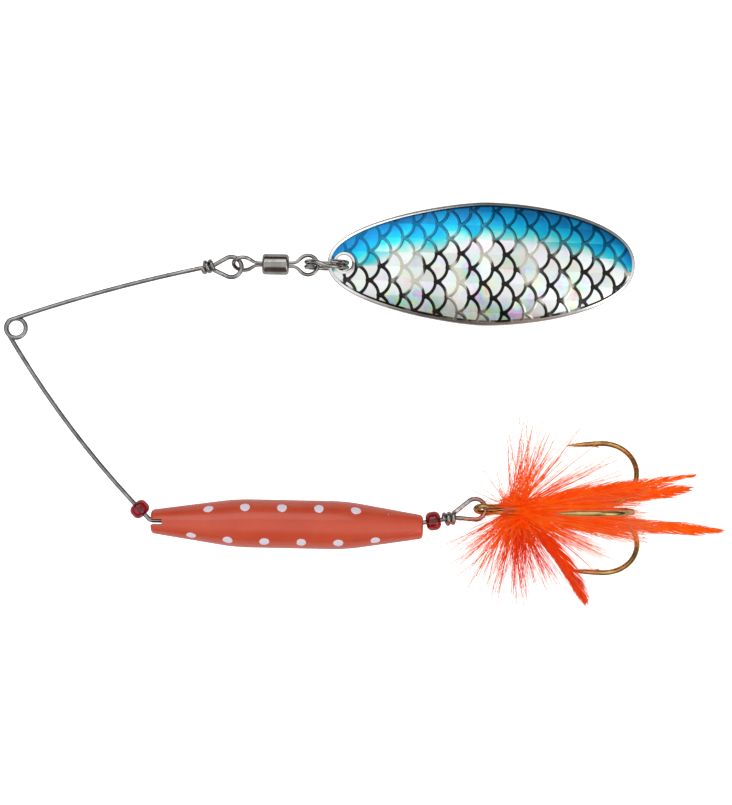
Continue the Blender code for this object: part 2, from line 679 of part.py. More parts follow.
front_place = line_point(LOWER_ARM_END, lower_heading, -FRONT_BEAD_RISE)
front_bead_pivot = pivot("front_bead_pivot", frame, front_place.to_3d(), (0, 0, lower_heading))
rear_bead_y = WIRE_IN_BODY_Y + (REAR_BEAD_X - REAR_KINK_X) * math.tan(REAR_KINK)
rear_bead_pivot = pivot("rear_bead_pivot", frame, (REAR_BEAD_X, rear_bead_y, 0), (0, 0, REAR_KINK))

flat = Matrix.Rotation(-frame_tilt, 3, "X")
upper_hinge = flat @ Vector((upper_loop.x + LOOP_R, upper_loop.y, 0))
rear_hinge = flat @ Vector((rear_loop.x + LOOP_R, rear_loop.y, 0))
swivel_x = upper_hinge.x + FRONT_EYE_SET + SWIVEL_EYE_REACH + BARREL_LENGTH / 2
swivel_middle = Vector((swivel_x, upper_hinge.y + SWIVEL_ACROSS, SWIVEL_HEIGHT - BODY_HEIGHT))
swing_pivot = pivot("swivel_swing_pivot", lure_root, upper_hinge)
barrel_pivot = pivot("barrel_pivot", swing_pivot, swivel_middle - upper_hinge)
half_barrel = Vector((BARREL_LENGTH / 2, 0, 0))
rear_eye_pivot = pivot("rear_eye_pivot", barrel_pivot, half_barrel)

far_side = SWIVEL_EYE_REACH + SWIVEL_EYE_R
eye_in_ring = RING_R - (RING_WIRE_D + SWIVEL_WIRE_D) / 2 - RING_EYE_GAP
ring_rise = RING_HEIGHT - SWIVEL_HEIGHT
RING_HINGE = swivel_middle + half_barrel + Vector((far_side, 0, 0))
RING_CENTRE = RING_HINGE + Vector((math.sqrt(eye_in_ring ** 2 - ring_rise ** 2), 0, ring_rise))
ring_pivot = pivot("ring_pivot", rear_eye_pivot, (far_side, 0, 0))
blade_pivot = pivot("blade_pivot", ring_pivot, RING_CENTRE - RING_HINGE)
blade_pitch = math.asin((BLADE_TIP_LIFT - BLADE_THICKNESS) / BLADE_LENGTH)
blade_hole_z = BLADE_TIP_LIFT * (1 - BLADE_HOLE_INSET / BLADE_LENGTH) + hole_height() - BODY_HEIGHT
hole_drop = blade_hole_z - RING_CENTRE.z
ring_in_blade = math.sqrt(RING_R ** 2 - (hole_drop - BLADE_THICKNESS / 2) ** 2)
hole_from_ring = Vector((ring_in_blade + BLADE_HOLE_AHEAD, BLADE_ACROSS, hole_drop))
blade_place = pivot("blade_place", blade_pivot, hole_from_ring, (0, blade_pitch, BLADE_YAW))

HOOK_FROM_HINGE = Vector((-0.25 * MM, 0, 0))
treble_pivot = pivot("treble_pivot", lure_root, rear_hinge, (0, -HOOK_PITCH, HOOK_YAW))

make_wire_form()
make_body()
make_bead("front_bead", front_bead_pivot)
make_bead("rear_bead", rear_bead_pivot)
make_barrel()
front_turn = Matrix.Rotation(FRONT_EYE_ROLL, 3, "X") @ Matrix.Rotation(math.pi, 3, "Z")
front_eye_pivot = pivot("front_eye_pivot", swing_pivot, barrel_pivot.location - half_barrel)
make_swivel_eye("swivel_front_eye", front_eye_pivot, front_turn.to_euler())
make_swivel_eye("swivel_rear_eye", rear_eye_pivot, Euler())
make_split_ring()
dished_sheet("blade", 0.0, 0.0, blade_steel, blade_place, BLADE_THICKNESS, BLADE_HOLE_D)
dished_sheet("blade_foil", FOIL_INSET, FOIL_GAP + FOIL_THICKNESS, foil_look, blade_place,
             FOIL_THICKNESS, BLADE_HOLE_D + 2 * FOIL_INSET)
make_treble()
make_thread()
for feather in FEATHERS:
    make_feather(*feather)


def centre_on_base():
    """Moves the lure so that the origin is under the middle of its box."""
    bpy.context.view_layer.update()
    depsgraph = bpy.context.evaluated_depsgraph_get()
    corners = []
    for part in parts:
        mesh = part.evaluated_get(depsgraph).to_mesh()
        corners += [part.matrix_world @ vertex.co for vertex in mesh.vertices]
    low = Vector([min(corner[axis] for corner in corners) for axis in range(3)])
    high = Vector([max(corner[axis] for corner in corners) for axis in range(3)])
    middle = (low + high) / 2
    base.location = (-middle.x, -middle.y, -low.z)
    bpy.context.view_layer.update()


centre_on_base()
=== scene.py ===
import bpy
import json
import random
from math import acos, asin, atan2, copysign, cos, degrees, pi, radians, sin, sqrt, tan, tau
from mathutils import Euler, Matrix, Vector


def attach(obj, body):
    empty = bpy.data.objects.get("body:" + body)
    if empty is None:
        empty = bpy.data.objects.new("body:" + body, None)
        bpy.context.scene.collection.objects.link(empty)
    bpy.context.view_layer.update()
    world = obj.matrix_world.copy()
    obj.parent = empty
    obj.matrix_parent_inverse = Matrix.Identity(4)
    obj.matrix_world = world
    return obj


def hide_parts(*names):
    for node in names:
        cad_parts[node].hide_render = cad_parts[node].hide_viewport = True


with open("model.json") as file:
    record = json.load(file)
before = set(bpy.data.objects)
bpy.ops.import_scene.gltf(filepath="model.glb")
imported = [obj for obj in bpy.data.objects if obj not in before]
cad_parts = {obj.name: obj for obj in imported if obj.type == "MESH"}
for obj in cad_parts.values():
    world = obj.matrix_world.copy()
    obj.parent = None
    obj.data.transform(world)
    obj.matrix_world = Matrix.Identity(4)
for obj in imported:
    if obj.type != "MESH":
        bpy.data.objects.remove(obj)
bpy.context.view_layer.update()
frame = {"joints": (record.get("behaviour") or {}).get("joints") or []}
mm = 0.001
sharpFrom = 38  # degrees between faces, from which an edge is drawn sharp
joints = {joint["name"]: joint for joint in frame["joints"]}


def at(*parts):
    return Vector(parts)


# Every piece is drawn in millimetres in its own axes, and a place carries it to the lure

def placeAt(origin, turn=Matrix.Identity(3)):
    return Matrix.Translation(origin) @ turn.to_4x4() @ Matrix.Scale(mm, 4)


def pointOf(jointName):
    return Vector(joints[jointName]["pos_m"])


def placeOfSpinner(jointName):  # its x runs along the joint's axis
    turn = at(1, 0, 0).rotation_difference(Vector(joints[jointName]["axis"]))
    return placeAt(pointOf(jointName), turn.to_matrix())


# Mesh making: a shape is a list of points, a list of faces and a map of each face's corners

def addToScene(name, data):
    thing = bpy.data.objects.new(name, data)
    bpy.context.scene.collection.objects.link(thing)
    return thing


def buildPiece(name, shapes, material, body=None, nodes=(), sharpAngle=sharpFrom):
    verts, faces, corners = [], [], []
    for shapeVerts, shapeFaces, shapeCorners in shapes:
        start = len(verts)
        verts += shapeVerts
        faces += [tuple(index + start for index in face) for face in shapeFaces]
        corners += shapeCorners
    mesh = bpy.data.meshes.new(name)
    mesh.from_pydata(verts, [], faces)
    layer = mesh.uv_layers.new(name="along")
    layer.data.foreach_set("uv", [value for face in corners for corner in face for value in corner])
    mesh.shade_smooth()
    if sharpAngle:
        mesh.set_sharp_from_angle(angle=radians(sharpAngle))
    mesh.materials.append(material)
    piece = addToScene(name, mesh)
    if body:
        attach(piece, body)
        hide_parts(*nodes)
    return piece


def aboutX(along, radius, angle):
    return at(along, radius * cos(angle), radius * sin(angle))


def tube(path, radii, place, sides, shade=None):  # rings carried along a path without twist
    points = [Vector(point) for point in path]
    last = len(points) - 1
    headings = [(points[min(i + 1, last)] - points[max(i - 1, 0)]).normalized() for i in range(last + 1)]
    across = headings[0].orthogonal().normalized()
    verts, travelled = [], [0.0]
    for i, point in enumerate(points):
        across = (across - headings[i] * across.dot(headings[i])).normalized()
        beside = headings[i].cross(across)
        radius = radii[i] if isinstance(radii, list) else radii
        for k in range(sides):
            angle = tau * k / sides
            verts.append(place @ (point + (across * cos(angle) + beside * sin(angle)) * radius))
        if i:
            travelled.append(travelled[-1] + (point - points[i - 1]).length)
    faces, corners = [], []
    for i in range(last):
        for k in range(sides):
            a, b = i * sides + k, i * sides + (k + 1) % sides
            faces.append((a, b, b + sides, a + sides))
            left, right = (shade, shade) if shade is not None else (k / sides, (k + 1) / sides)
            near, far = travelled[i], travelled[i + 1]
            if shade is not None:
                near, far = near / travelled[-1], far / travelled[-1]
            corners.append(((left, near), (right, near), (right, far), (left, far)))
    for ring, end in ((range(sides - 1, -1, -1), 0), (range(sides), last)):
        faces.append(tuple(end * sides + k for k in ring))
        flat = travelled[end] if shade is None else end / last
        corners.append(tuple((0.5 if shade is None else shade, flat) for k in ring))
    return verts, faces, corners


def turned(outline, place, segments, closed=True):  # radius and place along x, turned about x
    verts = []
    for radius, along in outline:
        for k in range(segments):
            verts.append(place @ aboutX(along, radius, tau * k / segments))
    count = len(outline)
    faces, corners = [], []
    for i in range(count if closed else count - 1):
        j = (i + 1) % count
        for k in range(segments):
            n = (k + 1) % segments
            faces.append((i * segments + k, j * segments + k, j * segments + n, i * segments + n))
            u, v = k / segments, (k + 1) / segments
            here, there = outline[i][1], outline[j][1]
            corners.append(((u, here), (u, there), (v, there), (v, here)))
    return verts, faces, corners


def cutAway(piece, cutter):  # takes the cutter out of the piece and keeps only the result
    step = piece.modifiers.new(cutter.name, "BOOLEAN")
    step.operation = "DIFFERENCE"
    step.solver = "EXACT"
    step.object = cutter
    bpy.context.view_layer.update()
    result = bpy.data.meshes.new_from_object(piece.evaluated_get(bpy.context.evaluated_depsgraph_get()))
    piece.modifiers.clear()
    piece.data = result
    bpy.data.objects.remove(cutter, do_unlink=True)
    result.set_sharp_from_angle(angle=radians(sharpFrom))


def arc(centre, radius, start, end, count):
    angles = [radians(start + (end - start) * step / (count - 1)) for step in range(count)]
    return [at(centre[0] + radius * cos(a), centre[1] + radius * sin(a)) for a in angles]


def bowed(start, end, bow, count):
    along = end - start
    side = at(-along.y, along.x).normalized()
    shares = [step / (count + 1) for step in range(1, count + 1)]
    return [start + along * t + side * bow * 4 * t * (1 - t) for t in shares]


def touchAngle(centre, radius, point, side):
    away = Vector(point) - Vector(centre)
    spread = degrees(acos(radius / away.length))
    return degrees(atan2(away.y, away.x)) + side * spread


def softened(path, radii, rounds=2):  # corners cut, ends kept
    for _ in range(rounds):
        newPath, newRadii = [path[0]], [radii[0]]
        for i in range(len(path) - 1):
            for share in (0.25, 0.75):
                newPath.append(path[i].lerp(path[i + 1], share))
                newRadii.append(radii[i] + (radii[i + 1] - radii[i]) * share)
        path, radii = newPath + [path[-1]], newRadii + [radii[-1]]
    return path, radii


def cutEnds(path, radius, edge=0.12):  # a cut wire's ends, with the edge rubbed off
    first = (path[1] - path[0]).normalized() * edge
    final = (path[-2] - path[-1]).normalized() * edge
    path = [path[0], path[0] + first * 0.35, path[0] + first] + path[1:-1] + [
        path[-1] + final, path[-1] + final * 0.35, path[-1]]
    radii = [radius] * len(path)
    radii[0] = radii[-1] = radius - edge
    radii[1] = radii[-2] = radius - edge * 0.3
    return path, radii


# Node helpers

def newMaterial(name, **values):
    material = bpy.data.materials.new(name)
    material.use_nodes = True
    shader = material.node_tree.nodes["Principled BSDF"]
    for key, value in values.items():
        shader.inputs[key.replace("_", " ")].default_value = value
    return material, material.node_tree, shader


def addNode(tree, kind, values=(), **settings):
    node = tree.nodes.new("ShaderNode" + kind)
    for key, value in settings.items():
        setattr(node, key, value)
    for key, value in dict(values).items():
        if isinstance(value, bpy.types.NodeSocket):
            tree.links.new(value, node.inputs[key])
        else:
            node.inputs[key].default_value = value
    return node


def treeOf(*values):  # the node tree of the first value that comes from a node
    return next(value.id_data for value in values if isinstance(value, bpy.types.NodeSocket))


def sums(operation, *values):
    return addNode(treeOf(*values), "Math", enumerate(values), operation=operation).outputs[0]


def times(*values):
    return sums("MULTIPLY", *values)


def minus(first, *others):
    for other in others:
        first = sums("SUBTRACT", first, other)
    return first


def split(value):
    return addNode(treeOf(value), "SeparateXYZ", [(0, value)]).outputs


def mapParts(tree, name=""):  # a map's two parts
    return split(addNode(tree, "UVMap", uv_map=name).outputs[0])


def feed(shader, **sources):  # links each source to the socket of that name
    for label, source in sources.items():
        shader.id_data.links.new(source, shader.inputs[label.replace("_", " ")])


def fitRange(value, fromLow, fromHigh, toLow=0.0, toHigh=1.0, smooth=False):
    kind = "SMOOTHSTEP" if smooth else "LINEAR"
    pairs = [(0, value), (1, fromLow), (2, fromHigh), (3, toLow), (4, toHigh)]
    return addNode(treeOf(value), "MapRange", pairs, interpolation_type=kind, clamp=True).outputs[0]


def blendColours(share, first, second, kind="MIX"):  # a plain colour is red, green and blue
    pairs = [(0, share)]
    for index, colour in ((6, first), (7, second)):
        pairs.append((index, (*colour, 1) if isinstance(colour, tuple) else colour))
    return addNode(treeOf(share, first, second), "Mix", pairs, data_type="RGBA", blend_type=kind).outputs[2]


def ramp(value, stops):
    node = addNode(treeOf(value), "ValToRGB", [(0, value)])
    marks = node.color_ramp.elements
    while len(marks) < len(stops):
        marks.new(0.5)
    for mark, (position, colour) in zip(marks, stops):
        mark.position = position
        mark.color = (*colour, 1.0)
    return node.outputs[0]


def bump(shader, height, strength, distance):
    pairs = [("Strength", strength), ("Distance", distance), ("Height", height)]
    feed(shader, Normal=addNode(shader.id_data, "Bump", pairs).outputs[0])


def noiseAt(place, scale, **more):
    pairs = {"Vector": place, "Scale": scale, **more}
    return addNode(place.id_data, "TexNoise", pairs).outputs["Fac"]


def groupWith(name, asks, gives):  # a group's inputs with their usual values, and its outputs
    group = bpy.data.node_groups.new(name, "ShaderNodeTree")
    for label, value in asks.items():
        socket = group.interface.new_socket(label, in_out="INPUT", socket_type="NodeSocketFloat")
        socket.default_value = value
    for label in gives:
        group.interface.new_socket(label, in_out="OUTPUT", socket_type="NodeSocketFloat")
    return group, group.nodes.new("NodeGroupInput").outputs, group.nodes.new("NodeGroupOutput").inputs


def useGroup(tree, group, **values):
    node = addNode(tree, "Group", node_tree=group)
    for key, value in values.items():
        node.inputs[key].default_value = value
    return node.outputs


def makeGrainGroup():  # fine uneven grain over any surface, one for the shine and one for the relief
    asks = {"Scale": 900.0, "Low": 0.0, "High": 1.0}
    group, ask, give = groupWith("fineGrain", asks, ["Value", "Height"])
    spot = addNode(group, "TexCoord").outputs["Object"]
    noise = noiseAt(spot, ask["Scale"], Detail=4.0, Roughness=0.6)
    group.links.new(fitRange(noise, 0.3, 0.7, ask["Low"], ask["High"]), give["Value"])
    group.links.new(noise, give["Height"])
    return group


def makeWearGroup():  # bright rubbed edges, broken up by grain
    group, ask, give = groupWith("rubbedEdges", {"Amount": 0.5, "Scale": 1500.0}, ["Mask"])
    spot = addNode(group, "TexCoord").outputs["Object"]
    noise = noiseAt(spot, ask["Scale"])
    sharp = fitRange(addNode(group, "NewGeometry").outputs["Pointiness"], 0.52, 0.62)
    broken = fitRange(noise, 0.4, 0.65)
    rubbed = times(sharp, broken)
    group.links.new(times(rubbed, ask["Amount"]), give["Mask"])
    return group


def makeDrawnGroup():  # long thin marks that drawing leaves along a wire
    asks = {"Around": 26.0, "Along": 0.35, "Low": 0.2, "High": 0.4}
    group, ask, give = groupWith("drawnMarks", asks, ["Value", "Marks"])
    spot = mapParts(group)
    turnAngle = times(spot[0], tau)
    reach = sums("DIVIDE", ask["Around"], tau)
    pairs = [(0, times(sums("COSINE", turnAngle), reach)),
             (1, times(sums("SINE", turnAngle), reach)),
             (2, times(spot[1], ask["Along"]))]
    stretched = addNode(group, "CombineXYZ", pairs).outputs[0]
    noise = noiseAt(stretched, 1.0, Detail=5.0, Roughness=0.7)
    group.links.new(fitRange(noise, 0.32, 0.68, ask["Low"], ask["High"]), give["Value"])
    group.links.new(noise, give["Marks"])
    return group


fineGrain = makeGrainGroup()
rubbedEdges = makeWearGroup()
drawnMarks = makeDrawnGroup()


# Metals

def makeMetal(name, dark, light, rubbed, shine, around, along, relief):
    material, tree, shader = newMaterial(name, Metallic=1.0)
    marks = useGroup(tree, drawnMarks, Around=around, Along=along, Low=shine[0], High=shine[1])
    edges = useGroup(tree, rubbedEdges, Amount=0.8)
    grain = useGroup(tree, fineGrain, Scale=420.0)
    plain = blendColours(grain["Value"], dark, light)
    feed(shader, Base_Color=blendColours(edges["Mask"], plain, rubbed), Roughness=marks["Value"])
    bump(shader, marks["Marks"], relief, 0.00003)
    return material


metals = {
    "stainlessWire": {"dark": (0.14, 0.135, 0.13), "light": (0.34, 0.33, 0.32), "rubbed": (0.6, 0.59, 0.57),
                      "shine": (0.14, 0.26), "around": 26.0, "along": 0.35, "relief": 0.12},
    "darkNickel": {"dark": (0.20, 0.18, 0.16), "light": (0.37, 0.36, 0.35), "rubbed": (0.72, 0.69, 0.65),
                   "shine": (0.08, 0.17), "around": 16.0, "along": 0.8, "relief": 0.03},
    "bronzeLacquer": {"dark": (0.24, 0.15, 0.04), "light": (0.54, 0.38, 0.13), "rubbed": (0.82, 0.66, 0.34),
                      "shine": (0.1, 0.2), "around": 14.0, "along": 0.25, "relief": 0.05},
    "bladeSteel": {"dark": (0.55, 0.54, 0.52), "light": (0.78, 0.77, 0.75), "rubbed": (0.9, 0.9, 0.88),
                   "shine": (0.1, 0.22), "around": 60.0, "along": 0.5, "relief": 0.05},
}
madeMetals = [makeMetal(name, **look) for name, look in metals.items()]
stainlessWire, darkNickel, bronzeLacquer, bladeSteel = madeMetals
print("metals ready")


# Wire frame: one wire from the swivel's loop, round the coil and through the body to the hook's loop

wireFrame = dict(
    diameter=0.87, armEndHeight=1.705, coilCentre=(-52.6, 36.3), coilRadius=1.86,
    coilStart=128.0, coilSweep=445.0, upperArmEnd=(-17.7, 48.45), upperBow=0.6,
    lowerArmEnd=(-26.6, 0.85), lowerBow=-1.3, wrapTurns=2.25, wrapPitch=0.95, wrapGap=0.05,
    loopRadius=1.95, upperReach=3.3, rearReach=4.1, loopOffset=1.0,
    rearKink=10.0, rearKinkPlace=(22.2, 0.2), rearNeck=31.8025, sides=20,
    loopSteps=44, wrapSteps=32, coilSteps=80, armSteps=9, settleSteps=6,
)
bodyRadius = 4.6


def wrappedLoop(neck, heading, side, reach):
    wrapRadius = wireFrame["diameter"] + wireFrame["wrapGap"]
    loopRadius = wireFrame["loopRadius"]
    centre = at(reach, side * wireFrame["loopOffset"])
    leave = touchAngle(centre, loopRadius, (0, 0), side)
    back = touchAngle(centre, loopRadius, (0, side * wrapRadius), -side) + side * 360
    path = [at(0, 0, 0)]
    path += [point.to_3d() for point in arc(centre, loopRadius, leave, back, wireFrame["loopSteps"])]
    steps = wireFrame["wrapSteps"]
    for step in range(round(wireFrame["wrapTurns"] * steps) + 1):
        angle = tau * step / steps
        along = -wireFrame["wrapPitch"] * step / steps
        path.append(at(along, side * wrapRadius * cos(angle), wrapRadius * sin(angle)))
    swing = Matrix.Rotation(heading, 3, "Z")
    return [swing @ point + neck.to_3d() for point in path]


def wirePath():
    wire = wireFrame["diameter"]
    coilCentre = Vector(wireFrame["coilCentre"])
    coilSteps, armSteps = wireFrame["coilSteps"], wireFrame["armSteps"]
    coilEnd = wireFrame["coilStart"] + wireFrame["coilSweep"]
    upperEnd, lowerEnd = Vector(wireFrame["upperArmEnd"]), Vector(wireFrame["lowerArmEnd"])
    turns = arc(coilCentre, wireFrame["coilRadius"], wireFrame["coilStart"], coilEnd, coilSteps)
    upperArm = bowed(turns[0], upperEnd, wireFrame["upperBow"], armSteps)
    away = upperEnd - upperArm[-1]
    upperHeading = atan2(away.y, away.x)
    neckLength = wireFrame["wrapTurns"] * wireFrame["wrapPitch"] + wire / 2
    upperNeck = upperEnd + away.normalized() * neckLength
    lowerArm = bowed(turns[-1], lowerEnd, wireFrame["lowerBow"], armSteps)
    down = lowerEnd - lowerArm[-1]
    path = list(reversed(wrappedLoop(upperNeck, upperHeading, -1, wireFrame["upperReach"])))
    path.append(upperEnd.to_3d())
    path += [point.to_3d() for point in reversed(upperArm)]
    stack = wire + wireFrame["wrapGap"]
    path += [point.to_3d() + at(0, 0, -stack * i / (coilSteps - 1)) for i, point in enumerate(turns)]
    for i, point in enumerate(lowerArm):
        path.append(point.to_3d() + at(0, 0, stack * min(i / wireFrame["settleSteps"] - 1, 0)))
    kink = Vector(wireFrame["rearKinkPlace"])
    corner = at(lowerEnd.x + (lowerEnd.y - kink.y) * down.x / -down.y, kink.y)
    inward, onward = (lowerEnd - corner) * 0.5, at((lowerEnd - corner).length * 0.5, 0)
    path.append(lowerEnd.to_3d())
    path += [(corner + inward * (1 - t) ** 2 + onward * t ** 2).to_3d() for t in (0, 0.2, 0.4, 0.6, 0.8, 1)]
    path.append(kink.to_3d())
    heading = radians(wireFrame["rearKink"])
    rearNeck = at(wireFrame["rearNeck"], kink.y + (wireFrame["rearNeck"] - kink.x) * tan(heading))
    path += wrappedLoop(rearNeck, heading, 1, wireFrame["rearReach"])
    loopRise = (upperNeck + Matrix.Rotation(upperHeading, 2) @ Vector(
        (wireFrame["upperReach"], -wireFrame["loopOffset"]))).y
    return path, asin((bodyRadius - wireFrame["armEndHeight"]) / loopRise)


def makeWireFrame():
    path, tilt = wirePath()
    place = placeAt(pointOf("body_spin"), Matrix.Rotation(-tilt, 3, "X"))
    path, radii = cutEnds(path, wireFrame["diameter"] / 2)
    shape = tube(path, radii, place, wireFrame["sides"])
    buildPiece("wireForm", [shape], stainlessWire, "wire_frame", ["wire_form"])


makeWireFrame()
print("wire frame built")


# Lead body with its painted dots

leadBody = dict(
    length=51.6, endDiameter=4.7, corner=0.8, frontTaper=16.1, rearTaper=14.6, blend=3.0,
    bore=1.6, flare=2.7, boreEnd=22.2, slotDepth=2.2, slotWidth=1.15, segments=112,
    dotPitch=6.96, dotStart=-14.8, dotRadius=0.92, dotStagger=-3.2, dotReach=19.2,
    paint=(0.62, 0.084, 0.036), paintDeep=(0.57, 0.066, 0.027), dotColour=(0.80, 0.72, 0.82),
    worn=(0.42, 0.2, 0.15),
)


def makeBodyPaint():
    material, tree, shader = newMaterial("salmonPaint", Coat_Weight=0.25, Coat_Roughness=0.08)
    shader.inputs["Specular IOR Level"].default_value = 0.3
    spot = mapParts(tree)
    quarter = times(spot[0], 4.0)
    row = sums("FLOOR", quarter)
    odd = sums("FLOORED_MODULO", row, 2.0)
    middle = minus(quarter, row, 0.5)
    around = times(middle, bodyRadius * pi / 2)
    shifted = minus(spot[1], leadBody["dotStart"], times(odd, leadBody["dotStagger"]))
    half = leadBody["dotPitch"] / 2
    along = sums("WRAP", shifted, half, -half)
    distance = sums("SQRT", sums("ADD", times(along, along), times(around, around)))
    wobble = useGroup(tree, fineGrain, Scale=700.0, Low=-0.1, High=0.1)["Value"]
    edge = sums("ADD", distance, wobble)
    inside = sums("LESS_THAN", sums("ABSOLUTE", spot[1]), leadBody["dotReach"])
    radius = leadBody["dotRadius"]
    dots = times(fitRange(edge, radius + 0.05, radius - 0.05, smooth=True), inside)
    dome = times(fitRange(edge, radius + 0.1, radius * 0.5, smooth=True), inside)
    grain = useGroup(tree, fineGrain, Scale=160.0)
    orange = useGroup(tree, fineGrain, Scale=2600.0, Low=0.23, High=0.28)
    rubbed = useGroup(tree, rubbedEdges, Amount=0.55, Scale=1800.0)
    paint = blendColours(grain["Value"], leadBody["paintDeep"], leadBody["paint"])
    worn = blendColours(rubbed["Mask"], paint, leadBody["worn"])
    feed(shader, Base_Color=blendColours(dots, worn, leadBody["dotColour"]), Roughness=orange["Value"])
    peel = sums("ADD", times(orange["Height"], 0.008), dome)
    bump(shader, peel, 0.5, 0.00008)
    return material


def shoulder(endRadius, endPlace, fullPlace):
    slope = (bodyRadius - endRadius) / abs(fullPlace - endPlace)
    outward = copysign(1, endPlace)
    blend = leadBody["blend"]
    low = at(bodyRadius - slope * blend, fullPlace + outward * blend)
    knee = at(bodyRadius, fullPlace)
    high = at(bodyRadius, fullPlace - outward * blend)
    steps = 14
    shares = [step / steps for step in range(steps + 1)]
    return [low * (1 - t) ** 2 + knee * 2 * t * (1 - t) + high * t ** 2 for t in shares]


def steppedLine(points, spacing=0.8):  # more rings on long straight stretches, for even shading
    out = [points[0]]
    for i in range(1, len(points)):
        gap = points[i] - points[i - 1]
        count = max(1, round(gap.length / spacing))
        out += [points[i - 1] + gap * (step + 1) / count for step in range(count)]
    return out


def makeLeadBody():
    half, corner = leadBody["length"] / 2, leadBody["corner"]
    endRadius, flare = leadBody["endDiameter"] / 2, leadBody["flare"] / 2
    outline = [at(flare - 0.1, half - 0.1), at(flare + 0.05, half)]
    outline += arc((endRadius - corner, half - corner), corner, 90, 10, 12)
    outline += shoulder(endRadius, half - corner, half - leadBody["rearTaper"])
    outline += list(reversed(shoulder(endRadius, corner - half, leadBody["frontTaper"] - half)))
    outline += arc((endRadius - corner, corner - half), corner, -10, -90, 12)
    outline += [at(leadBody["bore"] / 2, -half), at(leadBody["bore"] / 2, leadBody["boreEnd"])]
    place = placeAt(pointOf("body_spin"))
    shape = turned(steppedLine(outline), place, leadBody["segments"])
    piece = buildPiece("leadBody", [shape], makeBodyPaint(), "body", ["body_weight"])
    depth, width = leadBody["slotDepth"], leadBody["slotWidth"] / 2
    ahead, tall = 2, 7  # the cutter stands clear of the body
    box = [(x, y, z) for x in (-half - ahead, depth - half) for y in (-width, width) for z in (-tall, tall)]
    sides = [(0, 1, 3, 2), (4, 6, 7, 5), (0, 4, 5, 1), (2, 3, 7, 6), (0, 2, 6, 4), (1, 5, 7, 3)]
    shape = ([place @ Vector(point) for point in box], sides, [((0, 0),) * 4] * 6)
    cutAway(piece, buildPiece("slotCutter", [shape], piece.data.materials[0]))


makeLeadBody()
print("lead body built")


# Glass beads

glassBead = dict(
    diameter=3.6, length=2.8, bore=1.1, corner=1.1, colour=(0.55, 0.0, 0.016), deep=(0.22, 0.0, 0.007),
)


def makeRedGlass():
    material, tree, shader = newMaterial("crimsonGlass", Transmission_Weight=0.85, IOR=1.5)
    cloud = useGroup(tree, fineGrain, Scale=380.0)
    skin = useGroup(tree, fineGrain, Scale=2200.0, Low=0.02, High=0.07)
    feed(shader, Base_Color=blendColours(cloud["Value"], glassBead["deep"], glassBead["colour"]),
         Roughness=skin["Value"])
    bump(shader, cloud["Height"], 0.05, 0.0001)
    return material


crimsonGlass = makeRedGlass()


def makeBead(name, joint, node):
    half, corner, radius = glassBead["length"] / 2, glassBead["corner"], glassBead["diameter"] / 2
    outline = arc((radius - corner, half - corner), corner, 90, 0, 14)
    outline += arc((radius - corner, corner - half), corner, 0, -90, 14)
    bore = glassBead["bore"] / 2
    outline += [at(bore + 0.04, 0.02 - half), at(bore, 0.16 - half)]
    outline += [at(bore, half - 0.16), at(bore + 0.04, half - 0.02)]
    outline = [(point.x, -point.y) for point in outline]
    shape = turned(list(reversed(outline)), placeOfSpinner(joint), 64)
    buildPiece(name, [shape], crimsonGlass, node, [node])


makeBead("frontBead", "front_bead_spin", "front_bead")
makeBead("rearBead", "rear_bead_spin", "rear_bead")
print("beads built")


# Barrel swivel and split ring

swivel = dict(
    barrelLength=5.05, barrelDiameter=4.0, corner=0.57, wall=0.55, hole=0.72,
    wire=0.76, leg=0.60, legGap=0.03, eyeRadius=1.85, reach=3.65, neck=1.3,
    headDiameter=2.1, headLength=1.1, clearance=0.09, frontRoll=52.0,
)


def makeBarrel():
    half, radius, corner = swivel["barrelLength"] / 2, swivel["barrelDiameter"] / 2, swivel["corner"]
    inner, hole, wall = radius - swivel["wall"], swivel["hole"], swivel["wall"]
    outline = [at(hole, half - 0.05), at(hole + 0.06, half)]
    outline += arc((radius - corner, half - corner), corner, 90, 0, 14)
    outline += arc((radius - corner, corner - half), corner, 0, -90, 14)
    outline += [at(hole + 0.06, -half), at(hole, 0.05 - half), at(hole, wall - half)]
    outline += [at(inner, wall - half), at(inner, half - wall), at(hole, half - wall)]
    shape = turned(outline, placeAt(pointOf("barrel_spin")), 80)
    buildPiece("swivelBarrel", [shape], darkNickel, "barrel", ["swivel_barrel"])


def makeSwivelEye(name, place, body, node):
    leg = swivel["leg"] / 2 + swivel["legGap"]
    centre, neck = at(swivel["reach"], 0), at(swivel["neck"], leg)
    leave = touchAngle(centre, swivel["eyeRadius"], neck, -1) % 360
    inside = -swivel["wall"] - swivel["clearance"] - swivel["headLength"] / 2
    upper = [at(inside, leg), at(0, leg), neck]
    ring = arc(centre, swivel["eyeRadius"], leave, -leave, 60)
    path = upper + ring + [at(point.x, -point.y) for point in reversed(upper)]
    thin, full = swivel["leg"] / 2, swivel["wire"] / 2
    path, radii = softened([point.to_3d() for point in path], [thin] * 3 + [full] * len(ring) + [thin] * 3)
    head, long = swivel["headDiameter"] / 2, swivel["headLength"] / 2
    rounded = [(0.02, long), (head - 0.2, long), (head - 0.05, long - 0.06), (head, long - 0.2)]
    outline = rounded + [(radius, -along) for radius, along in reversed(rounded)]
    knob = turned(outline, place @ Matrix.Translation((inside, 0, 0)), 40, False)
    shapes = [tube(path, radii, place, 18), knob]
    buildPiece(name, shapes, darkNickel, body, [node])


splitRing = dict(wire=0.84, outside=8.6, turnGap=0.08, joggle=105.0, endGap=24.0, steps=220)


